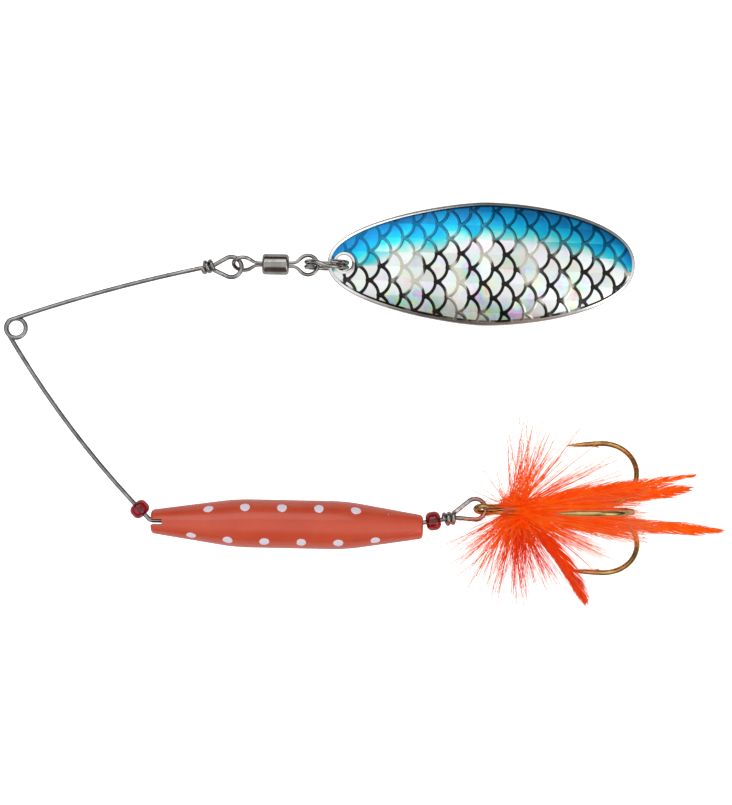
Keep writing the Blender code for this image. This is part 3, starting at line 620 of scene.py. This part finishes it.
def makeSplitRing():
    radius = (splitRing["outside"] - splitRing["wire"]) / 2
    halfStep = (splitRing["wire"] + splitRing["turnGap"]) / 2
    joggle, endGap = splitRing["joggle"], splitRing["endGap"]
    path = []
    for step in range(splitRing["steps"] + 1):
        turnedBy = joggle + endGap + (720.0 - 2 * endGap) * step / splitRing["steps"]
        share = min(max((turnedBy - joggle - 360 + endGap) / (2 * endGap), 0.0), 1.0)
        side = halfStep * (2 * (3 * share ** 2 - 2 * share ** 3) - 1)
        angle = radians(turnedBy)
        path.append(at(radius * cos(angle), side, radius * sin(angle)))
    path, radii = cutEnds(path, splitRing["wire"] / 2, 0.1)
    shape = tube(path, radii, placeAt(pointOf("blade_swing")), 18)
    buildPiece("splitRing", [shape], darkNickel, "ring", ["split_ring"])


makeBarrel()
frontTurn = Matrix.Rotation(radians(swivel["frontRoll"]), 3, "X") @ Matrix.Rotation(pi, 3, "Z")
frontOrigin = pointOf("barrel_spin") - at(swivel["barrelLength"] / 2 * mm, 0, 0)
makeSwivelEye("swivelFrontEye", placeAt(frontOrigin, frontTurn), "front_eye", "swivel_front_eye")
makeSwivelEye("swivelRearEye", placeAt(pointOf("rear_eye_spin")), "rear_eye", "swivel_rear_eye")
makeSplitRing()
print("swivel and split ring built")


# Blade and the scale film on it

blade = dict(
    length=58.5, width=23.3, thickness=0.6, dish=3.1, hole=3.3, holeInset=2.9,
    holeAhead=0.05, across=0.55, oval=(1.6, 0.45), tailFullness=0.085,
    tipLift=1.95, yaw=0.9, rings=30, steps=200,
)
film = dict(
    thickness=0.12, gap=0.05, inset=0.45, hole=4.2,
    scaleLength=4.3, scaleHeight=5.5, start=(15.3, -0.82), tilt=1.4, line=0.3,
    rimLine=(0.45, 0.32), mistReach=9.0,
    blues=[(0.0, (0.0, 0.13, 0.36)), (0.26, (0.0, 0.26, 0.60)), (0.46, (0.0, 0.46, 0.78)),
           (0.63, (0.03, 0.70, 0.80)), (0.78, (0.45, 0.90, 0.86)), (0.95, (1.0, 1.0, 1.0))],
    # bare-metal line colours from near-black to pale: painted reflection of the polished lines
    lineMetalReflections=[(0.0, (0.012, 0.010, 0.009)), (0.55, (0.06, 0.05, 0.042)), (1.0, (0.50, 0.47, 0.40))],
    sheens=[(0.0, (0.0, 0.06, 0.17)), (0.45, (0.0, 0.11, 0.22)), (0.72, (0.05, 0.24, 0.27)),
            (0.88, (0.26, 0.34, 0.33)), (1.0, (1.0, 1.0, 1.0))],
)


bladeHalf = blade["length"] / 2
holeAt = bladeHalf - blade["holeInset"]


def halfWidthAt(share):
    alongPower, acrossPower = blade["oval"]
    oval = blade["width"] / 2 * (1 - abs(share) ** alongPower) ** acrossPower
    return oval * (1 + blade["tailFullness"] * share)


def bladePlace():
    ringRadius = (splitRing["outside"] - splitRing["wire"]) / 2
    floorGap = pointOf("body_spin").z / mm - bodyRadius
    holeHeight = blade["tipLift"] * (1 - blade["holeInset"] / blade["length"]) + rimHeight() + floorGap
    drop = holeHeight - pointOf("blade_swing").z / mm
    ahead = sqrt(ringRadius ** 2 - (drop - blade["thickness"] / 2) ** 2) + blade["holeAhead"]
    pitch = asin((blade["tipLift"] - blade["thickness"]) / blade["length"])
    origin = pointOf("blade_swing") + at(ahead, blade["across"], drop) * mm
    return placeAt(origin, Euler((0, pitch, radians(blade["yaw"]))).to_matrix())


def rimHeight():  # of the sheet's upper face at the hole, over the plane of its rim
    return blade["dish"] * (1 - (holeAt / bladeHalf) ** 2)


def bladeOutline(inset):
    steps = blade["steps"]
    rim = []
    for step in range(steps):
        angle = tau * (step + 0.5) / steps
        share = cos(angle)
        rim.append(at(share * bladeHalf, copysign(halfWidthAt(share), sin(angle))))
    ways = [(rim[(k + 1) % steps] - rim[k - 1]).normalized() for k in range(steps)]
    outward = [at(way.y, -way.x) for way in ways]
    return [point - way * inset for point, way in zip(rim, outward)], outward


def sheetShape(inset, lift, thickness, holeRadius, place):  # dished, with its hole and both edges rounded
    halfWidth = blade["width"] / 2
    rings, steps = blade["rings"], blade["steps"]
    rim, outward = bladeOutline(inset)
    hole = at(-holeAt, 0)
    toRim = [(point - hole).normalized() for point in rim]
    inner = [hole + way * holeRadius for way in toRim]
    edge = [(sin(pi * step / 6), (1 - cos(pi * step / 6)) / 2) for step in range(1, 6)]
    shares = [(ring / rings) ** 1.25 for ring in range(rings + 1)]
    layers = [(share, 0.0, 0.0, 0.0) for share in shares]
    layers += [(1.0, bulge * thickness * 0.35, 0.0, down) for bulge, down in edge]
    layers += [(share, 0.0, 0.0, 1.0) for share in reversed(shares)]
    layers += [(0.0, 0.0, bulge * thickness * 0.2, 1 - down) for bulge, down in edge]
    verts, spots = [], []
    for share, bulge, squeeze, down in layers:
        for k in range(steps):
            point = inner[k].lerp(rim[k], share) + outward[k] * bulge - toRim[k] * squeeze
            bowl = 1 - (point.x / bladeHalf) ** 2 - (point.y / halfWidth) ** 2
            height = blade["dish"] * bowl + lift - rimHeight() - down * thickness
            verts.append(place @ at(point.x + holeAt, point.y, height))
            spots.append((point.x + holeAt, point.y))
    faces = []
    for ring in range(len(layers)):
        a, b = ring * steps, (ring + 1) % len(layers) * steps
        faces += [(a + k, b + k, b + (k + 1) % steps, a + (k + 1) % steps) for k in range(steps)]
    return verts, faces, [tuple(spots[index] for index in face) for face in faces]


def addDepthMap(mesh, inset):  # how far each point lies from the blade's upper edge, in mm
    layer = mesh.uv_layers.new(name="depth")
    source = mesh.uv_layers["along"].data
    for index, corner in enumerate(source):
        along, across = corner.uv
        share = max(-1.0, min(1.0, (along - holeAt) / bladeHalf))
        half = halfWidthAt(share)
        layer.data[index].uv = (half - across, half - abs(across) - inset)


def scaleLines(tree, spot):  # staggered arcs; returns the distance to the nearest and a number for each scale
    length, height = film["scaleLength"], film["scaleHeight"]
    radius = ((height / 2) ** 2 + (length / 2) ** 2) / length
    x, y = spot
    reaches, marks = [], []
    for shiftX, shiftY in ((0.0, 0.0), (length / 2, height / 2)):
        up = minus(y, shiftY)
        rowNumber = sums("FLOOR", sums("DIVIDE", up, height))
        local = minus(up, times(rowNumber, height), height / 2)
        squared = times(local, local)
        rise = sums("SQRT", sums("MAXIMUM", minus(radius ** 2, squared), 0.0001))
        edge = minus(rise, radius - length / 2)
        past = minus(x, shiftX, edge)
        gap = sums("WRAP", past, length / 2, -length / 2)
        across = times(sums("ABSOLUTE", gap), sums("DIVIDE", rise, radius))
        beforeEnd = times(sums("ADD", gap, edge), -1.0)
        reaches.append(sums("MAXIMUM", across, beforeEnd))
        marks.append((sums("FLOOR", sums("DIVIDE", past, length)), rowNumber))
    nearest = sums("SMOOTH_MIN", reaches[0], reaches[1], 0.5)
    (columnA, rowA), (columnB, rowB) = marks
    seedA = sums("MULTIPLY_ADD", rowA, 17.0, columnA)  # any two whole numbers tell the scales apart
    seedB = sums("MULTIPLY_ADD", rowB, 13.0, columnB)
    seed = addNode(tree, "CombineXYZ", [(0, seedA), (1, seedB)]).outputs[0]
    chance = addNode(tree, "TexWhiteNoise", [("Vector", seed)], noise_dimensions="3D").outputs
    return nearest, chance["Value"], chance["Color"]


def makeScaleFilm():
    material, tree, shader = newMaterial("scaleFilm", Coat_Weight=0.12, Coat_Roughness=0.05)
    flat = addNode(tree, "UVMap", uv_map="along").outputs[0]
    depth = mapParts(tree, "depth")
    moved = addNode(tree, "VectorMath", [(0, flat), (1, (*film["start"], 0))], operation="SUBTRACT")
    pairs = [("Vector", moved.outputs[0]), ("Angle", radians(film["tilt"]))]
    spot = split(addNode(tree, "VectorRotate", pairs, rotation_type="Z_AXIS").outputs[0])
    nearest, shade, tint = scaleLines(tree, spot[:2])
    rim = fitRange(depth[1], *film["rimLine"], smooth=True)
    drawn = fitRange(nearest, film["line"] + 0.05, film["line"] - 0.05, smooth=True)
    line = sums("MAXIMUM", drawn, rim)

    def cloud(scale, offset, stretch=(1, 1, 1), detail=3.0):
        spread = addNode(tree, "Mapping", [("Vector", flat), ("Location", offset), ("Scale", stretch)])
        return noiseAt(spread.outputs[0], scale, Detail=detail)

    # pale film with a different cast in each scale, and rainbow patches low on the blade
    tintParts = addNode(tree, "SeparateColor", [(0, tint)]).outputs
    drift = cloud(0.30, (4.0, 2.0, 0.0))
    swing = times(tintParts[0], 0.22)
    hue = sums("FRACT", sums("MULTIPLY_ADD", drift, 2.6, swing))
    patches = fitRange(cloud(0.16, (9.0, 5.0, 0.0)), 0.42, 0.68, smooth=True)
    lowDown = fitRange(depth[0], 6.0, 17.0)
    strength = sums("MULTIPLY_ADD", times(patches, lowDown), 0.42, 0.05)
    bright = fitRange(shade, 0.0, 1.0, 0.62, 0.9)
    rainbow = addNode(tree, "CombineColor", [(0, hue), (1, strength), (2, bright)], mode="HSV").outputs[0]
    # blue sprayed over the upper edge, fading out through aqua
    mist = sums("MULTIPLY_ADD", cloud(0.22, (1.0, 7.0, 0.0)), 3.0, minus(depth[0], 1.4))
    mist = sums("MULTIPLY_ADD", minus(shade, 0.45), 2.4, mist)
    lower = sums("MAXIMUM", times(split(flat)[1], -1.0), 0.0)
    mist = sums("ADD", mist, times(lower, 1.6))
    fade = sums("DIVIDE", mist, film["mistReach"])
    blue = ramp(fade, film["blues"])
    cells = blendColours(1.0, rainbow, blue, "MULTIPLY")
    share = fitRange(mist, 3.6, 6.6, 0.75, 0.0)
    cells = blendColours(share, cells, blue)
    # the lines between scales are bare metal, blue under the spray; their dark and pale patches, set by a
    # noise, are painted reflection of the polished lines
    reflectionPatches = fitRange(cloud(0.14, (3.0, 11.0, 0.0), (1.0, 0.45, 1.0), 2.0), 0.47, 0.56, smooth=True)
    metal = ramp(reflectionPatches, film["lineMetalReflections"])
    sheen = ramp(fade, film["sheens"])
    cover = fitRange(mist, 6.2, 8.4)
    metal = blendColours(cover, sheen, metal)
    feed(shader, Base_Color=blendColours(line, cells, metal))
    scuffs = useGroup(tree, fineGrain, Scale=1400.0, Low=0.0, High=0.1)
    gloss = fitRange(line, 0.0, 1.0, 0.30, 0.12)
    feed(shader, Roughness=sums("ADD", gloss, scuffs["Value"]),
         Metallic=fitRange(line, 0.0, 1.0, 0.8, 0.95))
    ridge = fitRange(nearest, 0.42, 0.02, smooth=True)
    bump(shader, sums("MULTIPLY_ADD", scuffs["Height"], 0.03, ridge), 0.35, 0.00012)
    return material


def makeBlade():
    place = bladePlace()
    sheet = sheetShape(0.0, 0.0, blade["thickness"], blade["hole"] / 2, place)
    buildPiece("spinnerBlade", [sheet], bladeSteel, "blade", ["blade"])
    lift = film["gap"] + film["thickness"]
    skin = sheetShape(film["inset"], lift, film["thickness"], film["hole"] / 2, place)
    foil = buildPiece("scaleFoil", [skin], makeScaleFilm(), "blade", ["blade_foil"])
    addDepthMap(foil.data, film["inset"])


makeBlade()
print("blade and film built")


# Treble hook

treble = dict(
    wire=1.03, length=31.2, reach=14.1, pointLength=6.4, eyeOutside=4.2, eyeRoll=25.0,
    pitch=11.2, yaw=1.5, gap=0.05, pointTilt=4.0, barbFromTip=4.7, barbLength=2.1,
    barbLift=24.0, barbRadius=0.3, fromHinge=-0.25,  # the barb's radius is a share of the wire
    # shares of the point's length, each with its share of the wire's thickness
    pointSizes=[(0.15, 1.0), (0.3, 0.99), (0.45, 0.93), (0.6, 0.8), (0.75, 0.6), (0.88, 0.36),
                (0.97, 0.12), (1, 0.03)],
)
trebleTurn = Euler((0, -radians(treble["pitch"]), radians(treble["yaw"]))).to_matrix()
treblePlace = placeAt(pointOf("treble_swing"), trebleTurn) @ Matrix.Translation((treble["fromHinge"], 0, 0))


def hookArm(shank, direction, startX):
    depth = treble["reach"] - shank.dot(direction)
    bend = depth / 2
    bendX = treble["length"] - treble["eyeOutside"] / 2 - treble["wire"] / 2 - bend
    tilt = radians(treble["pointTilt"])
    path = [shank + at(startX + (bendX - startX) * t, 0, 0) for t in (0, 0.25, 0.5, 0.75, 0.94)]
    for point in arc((bendX, bend), bend, -90, 90 + treble["pointTilt"], 40):
        path.append(shank + at(point.x, 0, 0) + direction * point.y)
    back = at(-cos(tilt), 0, 0) - direction * sin(tilt)
    root, radius = path[-1], treble["wire"] / 2
    radii = [radius] * len(path)
    for share, size in treble["pointSizes"]:
        path.append(root + back * treble["pointLength"] * share)
        radii.append(radius * size)
    return path, radii


def barbShape(path, direction):  # a sliver raised from the inner side of the point, leaning back to the bend
    back = (path[-1] - path[-2]).normalized()
    lean = radians(treble["barbLift"])
    root = path[-1] - back * treble["barbFromTip"] - direction * treble["wire"] * 0.12
    rise = -back * cos(lean) - direction * sin(lean)
    radius = treble["wire"] * treble["barbRadius"]
    spine = [root + rise * treble["barbLength"] * t for t in (-0.25, 0, 0.3, 0.6, 0.85, 1.0)]
    return tube(spine, [radius * size for size in (0.6, 1.0, 0.8, 0.5, 0.22, 0.04)], treblePlace, 12)


def makeTreble():
    wire = treble["wire"]
    spread = (wire + treble["gap"]) / 2
    right = at(0, cos(radians(-30)), sin(radians(-30)))
    left = at(0, -right.y, right.z)
    eyeRadius = (treble["eyeOutside"] - wire) / 2
    roll = radians(treble["eyeRoll"])
    across = at(0, sin(roll), cos(roll))
    eye = [at(p.x, 0, 0) + across * p.y for p in arc((0, 0), eyeRadius, 48, 312, 48)]
    neck = eyeRadius + wire * 1.5
    first, firstRadii = hookArm(at(0, spread, 0), right, neck)
    second, secondRadii = hookArm(at(0, -spread, 0), left, neck)
    path = list(reversed(first)) + eye + second
    radii = list(reversed(firstRadii)) + [wire / 2] * len(eye) + secondRadii
    path, radii = softened(path, radii)
    shapes = [tube(path, radii, treblePlace, 20), barbShape(first, right), barbShape(second, left)]
    buildPiece("hookPair", shapes, bronzeLacquer, "treble", ["hook_pair"])
    up = at(0, 0, 1)
    groove = sqrt((wire + treble["gap"]) ** 2 - spread ** 2)
    third, thirdRadii = hookArm(up * groove, up, neck + wire)
    shapes = [barbShape(third, up)]
    third, thirdRadii = softened(third, thirdRadii, 1)
    shapes.append(tube(third, thirdRadii, treblePlace, 20))
    buildPiece("hookThird", shapes, bronzeLacquer, "treble", ["hook_third"])


makeTreble()
print("treble hook built")


# Thread winding

winding = dict(start=3.9, length=4.6, wall=0.45, thread=0.13, colour=(0.80, 0.12, 0.008))
windingInside = (treble["gap"] / 2 + treble["wire"]) * 1.22 + treble["gap"]
windingMiddle = at(winding["start"] + winding["length"] / 2, 0, treble["wire"] * 0.33)


def makeThreadLook():
    material, tree, shader = newMaterial("waxedThread", Sheen_Weight=0.3, Coat_Weight=0.25)
    marks = useGroup(tree, drawnMarks, Around=9.0, Along=6.0, Low=0.0, High=1.0)
    deep = tuple(value * 0.5 for value in winding["colour"])
    feed(shader, Base_Color=blendColours(marks["Value"], deep, winding["colour"]))
    fuzz = useGroup(tree, fineGrain, Scale=2500.0, Low=0.4, High=0.7)
    feed(shader, Roughness=fuzz["Value"])
    bump(shader, marks["Marks"], 0.4, 0.00004)
    return material


def makeWinding():
    place = treblePlace @ Matrix.Translation(windingMiddle)
    outer, half, thread = windingInside + winding["wall"], winding["length"] / 2, winding["thread"]
    core = outer - thread * 0.6
    outline = [(core - 0.18, half), (core, half - 0.18), (core, 0.18 - half), (core - 0.18, -half)]
    outline += [(windingInside, -half), (windingInside, half)]
    bare, steps, middle = 0.15, 26, outer - thread / 2
    path = []
    for step in range(round((winding["length"] - 2 * bare) / thread * steps)):
        path.append(aboutX(bare - half + thread * step / steps, middle, tau * step / steps))
    shapes = [turned(outline, place, 60), tube(path, thread * 0.52, place, 6)]
    buildPiece("threadWinding", shapes, makeThreadLook(), "treble", ["thread_wrap"])


makeWinding()
print("thread wound")


# Feathers: loose strands that fan out from the winding, and vanes of strands along a stem

feather = dict(
    seed=11, floorGap=0.12, bow=0.06, stem=0.16, barbsFrom=0.04, lean=16.0, ragged=0.35,
    orange=dict(deep=(0.90, 0.05, 0.002), bright=(1.0, 0.20, 0.004), tip=(0.95, 0.27, 0.14)),
    red=dict(deep=(0.62, 0.012, 0.001), bright=(1.0, 0.10, 0.002), tip=(0.9, 0.2, 0.1)),
)
dice = random.Random(feather["seed"])
collar = treblePlace @ windingMiddle / mm  # in mm, in the lure's axes
flatPlace = Matrix.Scale(mm, 4)


def strand(root, tip, bow, radius, rings=7):
    handle = root.lerp(tip, 0.5) + bow
    path, radii = [], []
    for step in range(rings + 1):
        t = step / rings
        point = root * (1 - t) ** 2 + handle * 2 * t * (1 - t) + tip * t ** 2
        size = radius * (0.75 + 0.25 * sin(pi * min(t * 2, 1))) * (1 - 0.68 * t ** 2)
        point.z = max(point.z, feather["floorGap"] + size)
        path.append(point)
        radii.append(size)
    return tube(path, radii, flatPlace, 3, shade=dice.random())


def rootOnCollar(angle, climb, along):
    radius = (windingInside + winding["wall"]) * 0.96
    flatAngle = radians(angle)
    out = at(0, sin(flatAngle), 0)
    level = sqrt(max(1 - out.y ** 2, 0.0)) * climb
    out = at(0, out.y, level).normalized()
    local = trebleTurn @ at(along * winding["length"], 0, 0)
    return collar + local + trebleTurn @ out * radius


def spray(count, angles, lengths, heights, radius, along=(0.1, 0.5), clump=4, short=0.3):
    shapes = []
    while len(shapes) < count:
        angle = dice.uniform(*angles)
        length = dice.uniform(*lengths)
        if dice.random() < short:
            length *= dice.uniform(0.35, 0.8)
        height = dice.uniform(*heights)
        place = dice.uniform(*along)
        lean = dice.uniform(-feather["bow"], feather["bow"])
        for _ in range(dice.randint(1, clump)):
            turn = radians(angle + dice.gauss(0, 1.1))
            reach = length * dice.uniform(0.86, 1.0)
            tip = Vector((collar.x + reach * cos(turn), collar.y + reach * sin(turn),
                          collar.z + height + dice.gauss(0, 0.35)))
            climb = 1 if height > -1 else -1
            root = rootOnCollar(angle + dice.gauss(0, 6), climb, place + dice.gauss(0, 0.05))
            across = at(-sin(turn), cos(turn), 0) * reach * (lean + dice.gauss(0, 0.012))
            droop = at(0, 0, reach * 0.05)
            shapes.append(strand(root, tip, across + droop, radius * dice.uniform(0.7, 1.2)))
    return shapes


def vane(tip, bow, halfWidth, count, radius):
    stem, spreadFrom = feather["stem"], feather["barbsFrom"]
    root = rootOnCollar(degrees(atan2(tip[1], tip[0])), 0.6, 0.3)
    end = at(collar.x + tip[0], collar.y + tip[1], collar.z + tip[2])
    handle = root.lerp(end, 0.45) + Vector(bow)
    shapes = []

    def spine(t):
        return root * (1 - t) ** 2 + handle * 2 * t * (1 - t) + end * t ** 2

    path = [spine(step / 30) for step in range(31)]
    for point in path:
        point.z = max(point.z, feather["floorGap"] + stem)
    shapes.append(tube(path, [stem * (1 - 0.85 * step / 30) for step in range(31)], flatPlace, 6, shade=0.5))
    total = (end - root).length
    for step in range(count):
        t = spreadFrom + (0.97 - spreadFrom) * (step + dice.random()) / count
        start = spine(t)
        heading = (spine(min(t + 0.02, 1.0)) - spine(t - 0.02)).normalized()
        side = -1 if step % 2 else 1
        across = heading.cross(at(0, 0, 1)).normalized() * side
        wide = halfWidth * min(1.0, (t / 0.12) ** 0.5, (1.03 - t) / 0.34)
        wide *= dice.uniform(1 - feather["ragged"], 1.0)
        angle = radians(feather["lean"] * (1.15 - 0.55 * t) * dice.uniform(0.6, 1.3))
        reach = min(wide / sin(angle), total * (1.04 - t) * dice.uniform(0.55, 1.0))
        tipPoint = start + heading * reach * cos(angle) + across * reach * sin(angle)
        tipPoint.z += dice.gauss(0, 0.3)
        curve = across * reach * 0.07 + at(0, 0, 0.3 * dice.random())
        shapes.append(strand(start, tipPoint, curve, radius * dice.uniform(0.7, 1.25), 6))
    return shapes


def makeFeatherLookWithGlow(name, deep, bright, tip):
    # painted glow: the feather material emits its own colour at strength 0.2, standing in for light passing
    # through thin barbs
    material, tree, shader = newMaterial(name, Specular_IOR_Level=0.15, Emission_Strength=0.2)
    spot = mapParts(tree)
    grain = useGroup(tree, fineGrain, Scale=520.0)
    mixed = sums("MULTIPLY_ADD", grain["Value"], 0.4, times(spot[0], 0.6))
    dyed = blendColours(mixed, deep, bright)
    pale = fitRange(spot[1], 0.7, 1.0, 0.0, 0.5)
    colour = blendColours(pale, dyed, tip)
    feed(shader, Base_Color=colour)
    feed(shader, Emission_Color=colour)  # painted glow: the barbs emit their own colour, standing in for light shining through them
    feed(shader, Roughness=fitRange(spot[0], 0.0, 1.0, 0.38, 0.6))
    bump(shader, grain["Height"], 0.2, 0.00005)
    return material


orangeHackle = makeFeatherLookWithGlow("orangeHackle", **feather["orange"])
redHackle = makeFeatherLookWithGlow("redHackle", **feather["red"])


def makeFeather(node, shapes, red=False):
    words = node.split("_")
    name = words[0] + "".join(word.capitalize() for word in words[1:])
    look, slot = (redHackle, "red_feather") if red else (orangeHackle, "orange_feather")
    buildPiece(name, shapes, look, "treble", [node], sharpAngle=None)


makeFeather("tail_feather", vane((40.6, -3.5, -4.4), (0, -0.8, 5.0), 1.35, 620, 0.075)
            + spray(240, (-15, -1), (13, 28), (1, 6), 0.075)
            + spray(230, (-12, -3), (22, 29), (5.5, 8.5), 0.085, short=0.1)
            + spray(90, (-30, -14), (14, 28), (0, 3), 0.055, (0.1, 0.5), 3))
makeFeather("upper_feather", vane((33.6, 4.6, -1.6), (0, 0.6, 5.5), 1.5, 560, 0.08)
            + vane((24.5, 4.9, 2.0), (0, 0.6, 4.0), 2.0, 420, 0.08)
            + spray(280, (-6, 15), (10, 25), (2, 7), 0.075)
            + spray(150, (-1, 9), (19, 27), (5.5, 8.5), 0.08, short=0.1))
makeFeather("thin_feather", vane((34.6, 7.4, 0.5), (0, 0.8, 4.5), 0.95, 300, 0.07)
            + spray(44, (14, 34), (21, 30), (0, 4), 0.05, (0.2, 0.5), 2, short=0.1))
makeFeather("lower_feather", vane((14.2, -18.2, -4.9), (1.2, 2.0, 1.0), 1.5, 420, 0.075)
            + spray(190, (-54, -14), (11, 25), (-4, 1), 0.055), red=True)
makeFeather("hackle_low", spray(270, (-106, -54), (13, 23), (-5, 0), 0.058, (-0.3, 0.4), 4), red=True)
makeFeather("hackle_front", spray(200, (-154, -98), (13, 23), (-5, 2), 0.056, (-0.5, 0.1), 5)
            + spray(36, (100, 200), (12, 23), (-1, 4), 0.045, (-0.5, -0.2), 1, short=0.1)
            + spray(50, (70, 170), (2.0, 4.0), (0, 2.5), 0.075, (-0.7, -0.4), 3))
makeFeather("hackle_high", spray(130, (50, 100), (15, 25), (-2, 6), 0.05, (-0.4, 0.4), 2, short=0.1)
            + spray(44, (26, 54), (19, 31), (0, 4), 0.05, (0.1, 0.5), 1, short=0.1))
makeFeather("hackle_crown", spray(240, (-150, 150), (2.5, 8.5), (3, 8), 0.08, (-0.1, 0.5), 5)
            + spray(300, (-180, 180), (2.2, 4.5), (-1, 3), 0.09, (-0.5, 0.5), 6))
print("feathers tied")


# Floor, light and camera

studio = dict(
    floor=(0.88, 0.88, 0.88), glow=0.0, seenGlow=1.0, topPower=2.2, sidePower=1.2, sky=1.25,
    skyline=(0.2, 0.62), lowSky=0.12,
    darkToward=(0.0, -0.788, 0.616), darkCap=10.0, brightFrom=30.0, horizon=0.34,
    floorSize=3.0, floorLevel=-0.00004, lens=100, eye=(0.0006, -0.0010, 0.4290), roll=1.2,
)


def makeFloor():
    size, below = studio["floorSize"], studio["floorLevel"]
    corners = [(-size, -size, below), (size, -size, below), (size, size, below), (-size, size, below)]
    material, tree, shader = newMaterial("paleFloor", Roughness=0.9, Specular_IOR_Level=0.1)
    shader.inputs["Emission Strength"].default_value = 1.0
    seen = addNode(tree, "LightPath").outputs["Is Camera Ray"]
    low, high = (studio["glow"],) * 3, (studio["seenGlow"],) * 3
    feed(shader, Emission_Color=blendColours(seen, low, high))
    grain = useGroup(tree, fineGrain, Scale=60.0)
    pale = tuple(value * 0.985 for value in studio["floor"])
    feed(shader, Base_Color=blendColours(grain["Value"], pale, studio["floor"]))
    shape = ([Vector(corner) for corner in corners], [(0, 1, 2, 3)], [((0, 0), (1, 0), (1, 1), (0, 1))])
    buildPiece("floor", [shape], material)


def addLight(name, place, aim, size, power):
    light = bpy.data.lights.new(name, "AREA")
    light.shape = "RECTANGLE"
    light.size, light.size_y = size
    light.energy = power
    lamp = addToScene(name, light)
    lamp.location = place
    lamp.rotation_euler = (Vector(aim) - Vector(place)).to_track_quat("-Z", "Y").to_euler()


def addCamera():
    lens = bpy.data.cameras.new("camera")
    lens.lens = studio["lens"]
    lens.clip_start = 0.01
    camera = addToScene("camera", lens)
    camera.location = studio["eye"]
    camera.rotation_euler = (0, 0, radians(studio["roll"]))
    bpy.context.scene.camera = camera


def addSurroundings():
    world = bpy.data.worlds.new("studio")
    world.use_nodes = True
    background = world.node_tree.nodes["Background"]
    tree = world.node_tree
    way = addNode(tree, "TexCoord").outputs["Generated"]
    axis = tuple(Vector(studio["darkToward"]).normalized())
    facing = addNode(tree, "VectorMath", [(0, way), (1, axis)], operation="DOT_PRODUCT").outputs["Value"]
    angle = sums("DEGREES", sums("ARCCOSINE", facing))
    widest = 100.0  # degrees from the dark patch that the ramp covers
    share = sums("DIVIDE", angle, widest)
    low = (studio["horizon"],) * 3
    tint = ramp(share, [
        (0.0, (0.10, 0.09, 0.08)), (studio["darkCap"] / widest, (0.12, 0.11, 0.10)),
        (studio["brightFrom"] / widest, (1.0, 1.0, 1.0)), (0.62, (0.95, 0.96, 0.98)), (0.92, low)])
    height = split(way)[2]
    lit = fitRange(height, *studio["skyline"], studio["lowSky"], 1.0, smooth=True)
    veil = addNode(tree, "CombineColor", [(0, lit), (1, lit), (2, lit)]).outputs[0]
    feed(background, Color=blendColours(1.0, tint, veil, "MULTIPLY"))
    background.inputs["Strength"].default_value = studio["sky"]
    bpy.context.scene.world = world
    bpy.context.scene.view_settings.view_transform = "Standard"


makeFloor()
addLight("topSoftbox", (-0.25, 0.55, 0.75), (0, 0, 0), (0.9, 0.5), studio["topPower"])
addLight("sideSoftbox", (0.6, -0.55, 0.55), (0, 0, 0), (0.35, 0.7), studio["sidePower"])
addSurroundings()
addCamera()
print("studio ready")
